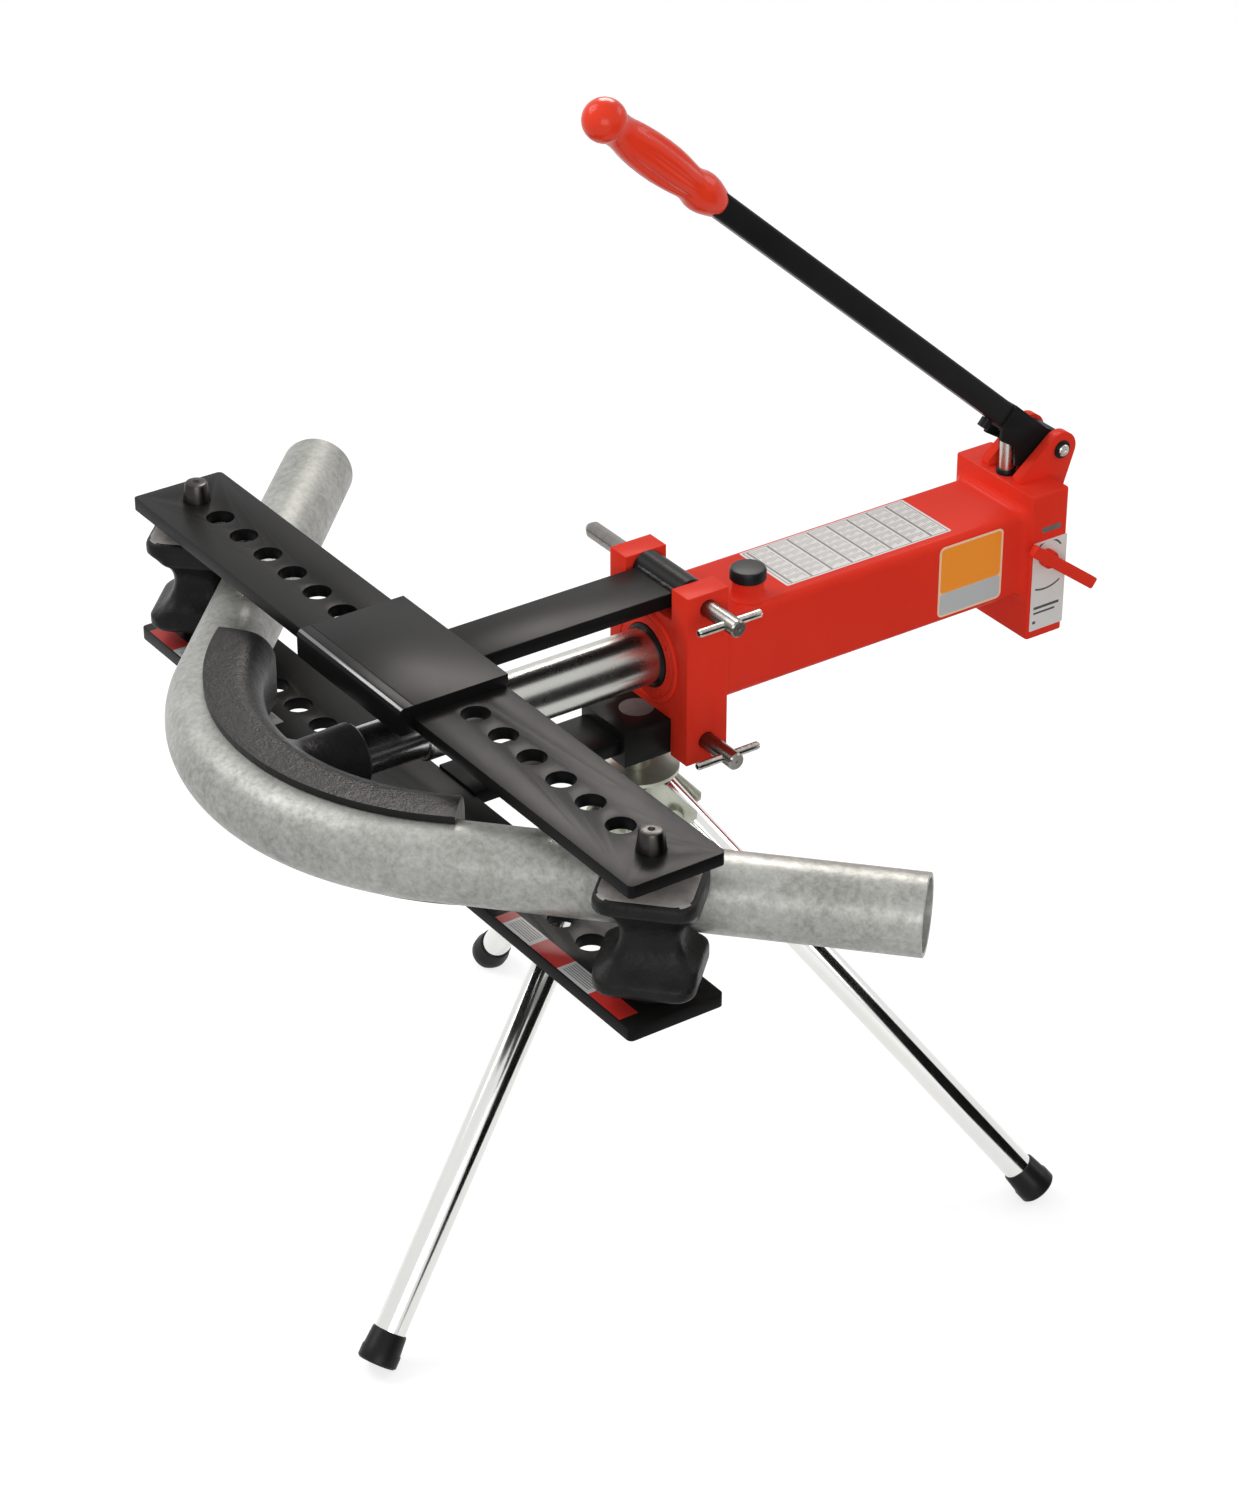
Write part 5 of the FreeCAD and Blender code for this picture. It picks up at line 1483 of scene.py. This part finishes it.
@dataclass
class Handle:
    """Pump handle, made along +Z from the pivot and laid over by its tilt."""

    shop: Workshop
    pivot: Point = (603.0, 76.0)
    tilt: float = 41.4
    drop: float = 3.0
    side: float = 20.0
    tube_start: float = 58.0
    grip_start: float = 433.0
    ball: float = 566.0
    ball_radius: float = 16.8
    flutes: int = 8
    flute_depth: float = 0.11
    fluted: Span = (30.0, 108.0)

    def place(self) -> Matrix:
        """Matrix from the handle's own frame to the datum."""
        y, z = self.pivot
        return Matrix.Translation((0, y, z)) @ Matrix.Rotation(math.radians(90 - self.tilt), 4, "X")

    def socket(self) -> None:
        """The socket that turns on the pivot bolt, with the tongue that the tube slides over."""
        self.shop.eased("handle_fork", "handle", "handle_socket", BLACK, 0.9)

    def tube(self) -> None:
        """The square tube with rounded corners."""
        h = self.side / 2
        mesh = Shapes.block((-h, h), (-self.drop - h, -self.drop + h),
                            (self.tube_start, self.grip_start + 20))
        Shapes.rounded(mesh, 2.6, 4, chosen=Shapes.along(Axis.Z))
        self.shop.add("handle_bar", "handle", Shapes.moved(mesh, self.place()), BLACK, ("handle_tube",))

    def grip(self) -> None:
        """The moulded grip: collar, fluted body, waist and ball end."""
        s = self.grip_start
        body = [(0, s), (10.8, s), (12.0, s + 2), (13.4, s + 7), (15.0, s + 13), (15.7, s + 19),
                (15.4, s + 24), (14.4, s + 28), (13.6, s + 32), (13.7, s + 37), (14.7, s + 44),
                (15.9, s + 53), (16.7, s + 63), (16.9, s + 75), (16.5, s + 87), (15.7, s + 97),
                (14.8, s + 104), (13.6, s + 110), (13.2, s + 115)]
        angles = [math.radians(-38 + 128 * i / 10) for i in range(11)]
        ball = [(self.ball_radius * math.cos(a), self.ball + self.ball_radius * math.sin(a)) for a in angles]
        ball[-1] = (0, self.ball + self.ball_radius)
        mesh = Shapes.turned(body + ball, Axis.Z, steps=96)
        first, last = (s + along for along in self.fluted)
        for vert in mesh.verts:
            along = (vert.co.z - first) / (last - first)
            if 0 < along < 1 and vert.co.xy.length > 1:
                angle = math.atan2(vert.co.y, vert.co.x)
                flute = (0.5 + 0.5 * math.cos(self.flutes * angle)) ** 3 * math.sin(math.pi * along) ** 0.7
                vert.co.xy *= 1 - self.flute_depth * flute
        bmesh.ops.translate(mesh, verts=mesh.verts, vec=(0, -self.drop, 0))
        self.shop.add("handle_grip_body", "handle", Shapes.moved(mesh, self.place()), GRIP, ("handle_grip",),
                      crease=60)

    def build(self) -> None:
        """Build the handle's pieces."""
        self.socket()
        self.tube()
        self.grip()
        self.shop.dress(["handle_screw"], CAP)


@dataclass
class Labels:
    """Thin plain stickers on the fixed frame: a table, a side panel, the valve's card and a wing strip."""

    shop: Workshop
    film: float = 0.15
    print_film: float = 0.06
    housing_top: float = 38.4
    housing_side: float = 41.6
    block_side: float = 49.7
    table_area: tuple[Span, Span] = ((-35.0, 29.0), (327.0, 489.0))
    columns: int = 8
    column_pitch: float = 19.6
    rows: int = 7
    row_pitch: float = 2.2
    words: int = 7
    word_pitch: float = 8.0
    ink_width: float = 0.9
    spindle: Point = (571.0, -1.0)
    arc_width: float = 1.6
    wing_top: float = -53.4
    wing_band: Span = (-38.6, -22.8)

    @staticmethod
    def sheet_of(outline: tuple[Span, Span], face: Axis, level: float, thickness: float) -> BMesh:
        """A thin rectangle on a face, from its spans on the two axes across that face."""
        (left, right), (near, far) = outline
        return Shapes.plate([(left, near), (right, near), (right, far), (left, far)], face, level, thickness)

    def sheet(self, name: str, outline: tuple[Span, Span], face: Axis, level: float, finish: Finish,
              corner: float) -> None:
        """A thin panel with rounded corners that lies on a flat face.

        Args:
            name: its name.
            outline: its spans on the two axes across the face.
            face: the axis that the face looks along.
            level: the face's place on that axis.
            finish: its finish.
            corner: its corner radius.
        """
        mesh = self.sheet_of(outline, face, level, self.film)
        Shapes.rounded(mesh, corner, 5, chosen=Shapes.along(face))
        self.shop.add(name, "frame", mesh, finish)

    def lines(self, name: str, spans: Sequence[tuple[Span, Span]], face: Axis, level: float,
              finish: Finish) -> None:
        """Printed bars on a sticker, as one mesh.

        Args:
            name: its name.
            spans: each bar's spans on the two axes across the face.
            face: the axis that the face looks along.
            level: the face's place on that axis.
            finish: its finish.
        """
        bars = [self.sheet_of(span, face, level, self.print_film) for span in spans]
        self.shop.add(name, "frame", Shapes.joined(*bars), finish)

    def table(self) -> None:
        """The card on top of the housing: a ruled table with bold rules and faint rows."""
        (x0, x1), (y0, y1) = self.table_area
        top = self.housing_top
        self.sheet("table_film", self.table_area, Axis.Z, top, WHITE_LABEL, 1.5)
        bold, fine = [], []
        for column in range(self.columns):
            start = y0 + 5.0 + self.column_pitch * column
            bold.append(((x0 + 2.5, x1 - 2.5), (start, start + 2.2)))
            for row in range(self.rows):
                level = start + 3.4 + self.row_pitch * row
                if level > y1 - 5:
                    break
                for word in range(self.words):
                    left = x0 + 3.5 + self.word_pitch * word
                    length = 6.8 - (word * 7 + row * 5 + column * 3) % 4 * 0.9
                    fine.append(((left, left + length), (level, level + self.ink_width)))
        bold += [((x0 + 1.5, x0 + 2.1), (y0 + 2, y1 - 2)), ((x1 - 2.1, x1 - 1.5), (y0 + 2, y1 - 2)),
                 ((x0 + 2, x1 - 2), (y0 + 2.2, y0 + 3.0)), ((x0 + 2, x1 - 2), (y1 - 3.0, y1 - 2.2))]
        self.lines("table_rules", bold, Axis.Z, top + self.film, GREY_INK)
        self.lines("table_rows", fine, Axis.Z, top + self.film, FAINT_INK)

    def side_panel(self) -> None:
        """The bare two-tone sticker on the housing's side."""
        face = self.housing_side
        self.sheet("panel_border", ((467.5, 532.0), (-29.0, 34.0)), Axis.X, face, EDGE_LABEL, 5.0)
        level = face + self.film
        self.sheet("panel_orange", ((469.5, 530.0), (-7.5, 32.0)), Axis.X, level, ORANGE_LABEL, 3.0)
        self.sheet("panel_band", ((469.5, 530.0), (-27.0, -8.0)), Axis.X, level, PALE_BAND, 3.0)

    def valve_card(self) -> None:
        """The valve's white card with plain arcs and bars, and a bare plate above it."""
        face = self.block_side
        self.sheet("valve_card", ((557.5, 592.0), (-66.0, 14.5)), Axis.X, face, WHITE_LABEL, 1.0)
        self.sheet("block_mark", ((565.0, 585.0), (22.0, 26.6)), Axis.X, face, DULL_STEEL, 1.8)
        level = face + self.film
        y, z = self.spindle
        arcs = (("open", 14.0, 2.0, (6.5, 12.5)), ("shut", 28.0, 0.0, (-34.0, -24.0)))
        for word, radius, shift, kept in arcs:
            outer = radius + self.arc_width
            ring = Shapes.turned([(radius, 0), (outer, 0), (outer, self.print_film),
                                  (radius, self.print_film)], Axis.X, (level, y + shift, z), 64)
            keep = Shapes.block((level - 1, level + 1), (561.5, 586.5), kept)
            self.shop.add(f"valve_arc_{word}", "frame", Shapes.combined(ring, "INTERSECT", keep), INK)
        bars = [((561.0, 587.0), (-47.0, -44.6)), ((561.0, 583.0), (-51.4, -49.6)),
                ((560.5, 563.5), (-60.0, -57.4))]
        self.lines("valve_bars", bars, Axis.X, level, INK)

    def wing_strip(self) -> None:
        """The red and grey strip along the front of the lower wing."""
        grey = [(184.0, 219.0), (253.6, 292.5), (-297.0, -150.0)]
        red = [(174.0, 184.0), (219.0, 253.6), (292.5, 331.0), (-335.0, -297.0)]
        for tone, finish, spans in (("red", RED_INK, red), ("grey", PALE_BAND, grey)):
            self.lines(f"wing_{tone}", [(span, self.wing_band) for span in spans], Axis.Z, self.wing_top,
                       finish)
        rows = [self.wing_band[0] + 3 + 2 * row for row in range(6)]
        words = [((start + 3, start + length), (row, row + 0.8))
                 for start, length in ((184.0, 31.0), (253.6, 35.0), (-294.0, 60.0), (-228.0, 70.0))
                 for row in rows]
        self.lines("wing_print", words, Axis.Z, self.wing_top + self.print_film, GREY_INK)

    def build(self) -> None:
        """Build every sticker."""
        self.table()
        self.side_panel()
        self.valve_card()
        self.wing_strip()


@dataclass
class Tripod:
    """Stud, hub and three folding legs."""

    shop: Workshop
    y: float = 205.2
    apex: float = -91.5
    splay: float = 40.9
    azimuth: float = -71.7
    leg: float = 12.5
    start: float = 28.0
    end: float = 508.0
    foot: float = 16.0

    def leg_frame(self, number: int) -> Matrix:
        """Matrix from a leg's own frame (+Z down the leg) to the datum.

        Args:
            number: 0, 1 or 2.

        Returns:
            The matrix.
        """
        bearing = math.radians(self.azimuth + 120 * number)
        return (Matrix.Translation((0, self.y, self.apex)) @ Matrix.Rotation(bearing, 4, "Z")
                @ Matrix.Rotation(math.radians(180 - self.splay), 4, "Y"))

    def one_leg(self, number: int) -> None:
        """Chromed tube, moulded foot and channel of one leg.

        Args:
            number: 0, 1 or 2.
        """
        place = self.leg_frame(number)
        word = str(number + 1)
        body = f"leg_unit_{word}"
        r = self.leg
        tube = Shapes.turned([(r - 1.5, self.start), (r - 0.5, self.start), (r, self.start + 0.8),
                              (r, self.end - 6), (r - 1.5, self.end - 6)], Axis.Z, steps=56)
        self.shop.add(f"leg_tube_{word}", body, Shapes.moved(tube, place), LEG_CHROME, (f"leg_{word}",))
        f = self.foot
        rubber = [(r + 0.05, self.end - 27), (f - 2.6, self.end - 27), (f - 1.9, self.end - 26),
                  (f - 0.8, self.end - 12), (f, self.end - 10.5), (f, self.end - 1.5), (f - 1.5, self.end),
                  (0, self.end), (0, self.end - 6), (r + 0.05, self.end - 6)]
        sole = Shapes.moved(Shapes.turned(rubber, Axis.Z, steps=56), place)
        floor = -self.shop.datum.origin.z * 1000
        bmesh.ops.bisect_plane(sole, geom=sole.verts[:] + sole.edges[:] + sole.faces[:], dist=1e-4,
                               plane_co=(0, 0, floor), plane_no=(0, 0, -1), clear_outer=True)
        rim = [e for e in sole.edges if e.is_boundary]
        bmesh.ops.holes_fill(sole, edges=rim, sides=0)
        bmesh.ops.recalc_face_normals(sole, faces=sole.faces)
        self.shop.add(f"leg_foot_{word}", body, sole, FOOT, (f"foot_{word}",))
        self.shop.eased(f"leg_bracket_{word}", "frame", f"leg_channel_{word}", YELLOW_ZINC, 0.5)

    def build(self) -> None:
        """Build the tripod's pieces."""
        for number in range(3):
            self.one_leg(number)
        self.shop.dress(["tripod_stud"], DULL_STEEL)
        self.shop.dress(["tripod_spacer", "tripod_hub", "tripod_nut", "leg_bolt_1", "leg_bolt_2",
                         "leg_bolt_3"], YELLOW_ZINC)


# ------------------------------------------------------------------ studio

@dataclass
class Studio:
    """Floor, surround, dark card, lamps and camera."""

    shop: Workshop
    azimuth: float = 55.474
    elevation: float = 30.887
    distance: float = 3051.157
    target: Point = (105.671, 116.226)
    focal: float = 98.966
    floor_half: float = 12.0
    floor_tone: float = 0.42
    floor_glow: float = 0.7
    surround: float = 0.45
    flag_half: float = 0.5
    flag_place: tuple[float, float, float] = (0.86, 0.36, 0.46)
    flag_turn: float = 112.0

    @staticmethod
    def straight_rays(nodes: bpy.types.Nodes, links: bpy.types.NodeLinks) -> bpy.types.NodeSocket:
        """Count camera, glossy and see-through rays, so that metal shows the white surround too.

        Args:
            nodes: the nodes of a material or the world.
            links: its links.

        Returns:
            A socket that is 1 for those rays and 0 for the rest.
        """
        path = nodes.new("ShaderNodeLightPath")
        total = path.outputs["Is Camera Ray"]
        for name in ("Is Glossy Ray", "Is Transmission Ray"):
            add = nodes.new("ShaderNodeMath")
            add.operation, add.use_clamp = "ADD", True
            links.new(total, add.inputs[0])
            links.new(path.outputs[name], add.inputs[1])
            total = add.outputs[0]
        return total

    @staticmethod
    def card(name: str, size: float, cloth: str) -> tuple[bpy.types.Object, bpy.types.Material]:
        """Make a flat square of the studio.

        Args:
            name: its name.
            size: half its side, in metres.
            cloth: its material's name.

        Returns:
            The square and its fresh material.
        """
        mesh = bmesh.new()
        bmesh.ops.create_grid(mesh, x_segments=1, y_segments=1, size=size)
        card = linked(name, mesh_data(mesh, name))
        material = blank(cloth)
        card.data.materials.append(material)
        return card, material

    def floor(self) -> None:
        """A white floor that keeps the object's soft shadow."""
        floor, material = self.card("floor", self.floor_half, "pale floor")
        nodes, links = material.node_tree.nodes, material.node_tree.links
        shader = nodes["Principled BSDF"]
        shader.inputs["Base Color"].default_value = (self.floor_tone, self.floor_tone, self.floor_tone, 1)
        shader.inputs["Roughness"].default_value = 0.9
        glow = nodes.new("ShaderNodeEmission")
        glow.inputs["Color"].default_value = (1, 1, 1, 1)
        seen = nodes.new("ShaderNodeMath")
        seen.operation = "MULTIPLY"
        links.new(self.straight_rays(nodes, links), seen.inputs[0])
        seen.inputs[1].default_value = self.floor_glow
        links.new(seen.outputs[0], glow.inputs["Strength"])
        both = nodes.new("ShaderNodeAddShader")
        links.new(shader.outputs[0], both.inputs[0])
        links.new(glow.outputs[0], both.inputs[1])
        links.new(both.outputs[0], nodes["Material Output"].inputs["Surface"])

    def world(self) -> None:
        """A plain pale surround, white to the camera."""
        world = bpy.data.worlds.new("studio")
        bpy.context.scene.world = world
        world.use_nodes = True
        nodes, links = world.node_tree.nodes, world.node_tree.links
        ground = nodes["Background"]
        ground.inputs["Color"].default_value = (1, 1, 1, 1)
        level = nodes.new("ShaderNodeMapRange")
        level.inputs["To Min"].default_value = self.surround
        level.inputs["To Max"].default_value = 1.0
        links.new(self.straight_rays(nodes, links), level.inputs["Value"])
        links.new(level.outputs["Result"], ground.inputs["Strength"])

    def flag(self) -> None:
        """A dark card beside the stand, which only polished metal shows."""
        flag, material = self.card("flag", self.flag_half, "flag cloth")
        upright = (Matrix.Rotation(math.radians(self.flag_turn), 4, "Z")
                   @ Matrix.Rotation(math.radians(90), 4, "X"))
        flag.matrix_world = (Matrix.Translation(self.flag_place) @ upright
                             @ Matrix.Diagonal((1.0, 0.9, 1.0, 1.0)))
        shader = material.node_tree.nodes["Principled BSDF"]
        shader.inputs["Base Color"].default_value = (0.01, 0.01, 0.01, 1)
        shader.inputs["Specular IOR Level"].default_value = 0.0
        flag.visible_camera = flag.visible_diffuse = flag.visible_shadow = False

    def lamp(self, name: str, place: Sequence[float], aim: Sequence[float], size: Point, power: float,
             gloss_only: bool = False) -> None:
        """Add a soft area lamp.

        Args:
            name: its name.
            place: where it hangs, in metres.
            aim: the point that it faces, in metres.
            size: its width and height.
            power: in watts.
            gloss_only: True where it makes a sheen and lights nothing else.
        """
        data = bpy.data.lights.new(name, "AREA")
        data.shape, data.size, data.size_y, data.energy = "RECTANGLE", size[0], size[1], power
        lamp = linked(name, data)
        away = Vector(place) - Vector(aim)
        lamp.matrix_world = Matrix.Translation(place) @ away.to_track_quat("Z", "Y").to_matrix().to_4x4()
        if gloss_only:
            data.color = (1.0, 0.94, 0.90)
            lamp.visible_diffuse = False

    def camera(self) -> None:
        """The camera, aimed from its azimuth, elevation and distance."""
        az, el = math.radians(self.azimuth), math.radians(self.elevation)
        back = Vector((math.sin(az) * math.cos(el), -math.cos(az) * math.cos(el), math.sin(el)))
        aim = self.shop.datum.metres(*self.target, 0)
        data = bpy.data.cameras.new("camera")
        data.lens = self.focal
        data.clip_end = 100
        camera = linked("camera", data)
        camera.matrix_world = (Matrix.Translation(aim + back * self.distance / 1000)
                               @ back.to_track_quat("Z", "Y").to_matrix().to_4x4())
        bpy.context.scene.camera = camera

    def build(self) -> None:
        """Build the studio."""
        self.floor()
        self.world()
        self.flag()
        self.lamp("key", (-1.6, -1.2, 2.6), (0, 0, 0.5), (1.6, 1.6), 38)
        self.lamp("fill", (2.6, -1.6, 1.6), (0, 0, 0.5), (2.0, 1.4), 37)
        self.lamp("rim", (0.6, 2.6, 2.2), (0, 0, 0.5), (1.6, 1.0), 15)
        self.lamp("sheen", (-0.75, 0.6, 1.6), (0.25, -0.2, 0.5), (0.7, 0.5), 18, gloss_only=True)
        self.camera()
        bpy.context.scene.view_settings.view_transform = "Standard"


def main() -> None:
    """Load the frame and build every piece."""
    logging.basicConfig(level=logging.INFO, format="%(message)s")
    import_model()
    shop = Workshop(Datum())
    for side in Side:
        WingFrame(shop, side).build()
    Hinges(shop).build()
    Cylinder(shop).build()
    RamAndFormer(shop).build()
    BentTube(shop).build()
    for hand in Hand:
        RollerStation(shop, hand).build()
    PumpEnd(shop).build()
    Handle(shop).build()
    Labels(shop).build()
    Tripod(shop).build()
    Studio(shop).build()
    LOG.info("%d pieces", len(shop.made))


if __name__ == "__main__":
    main()
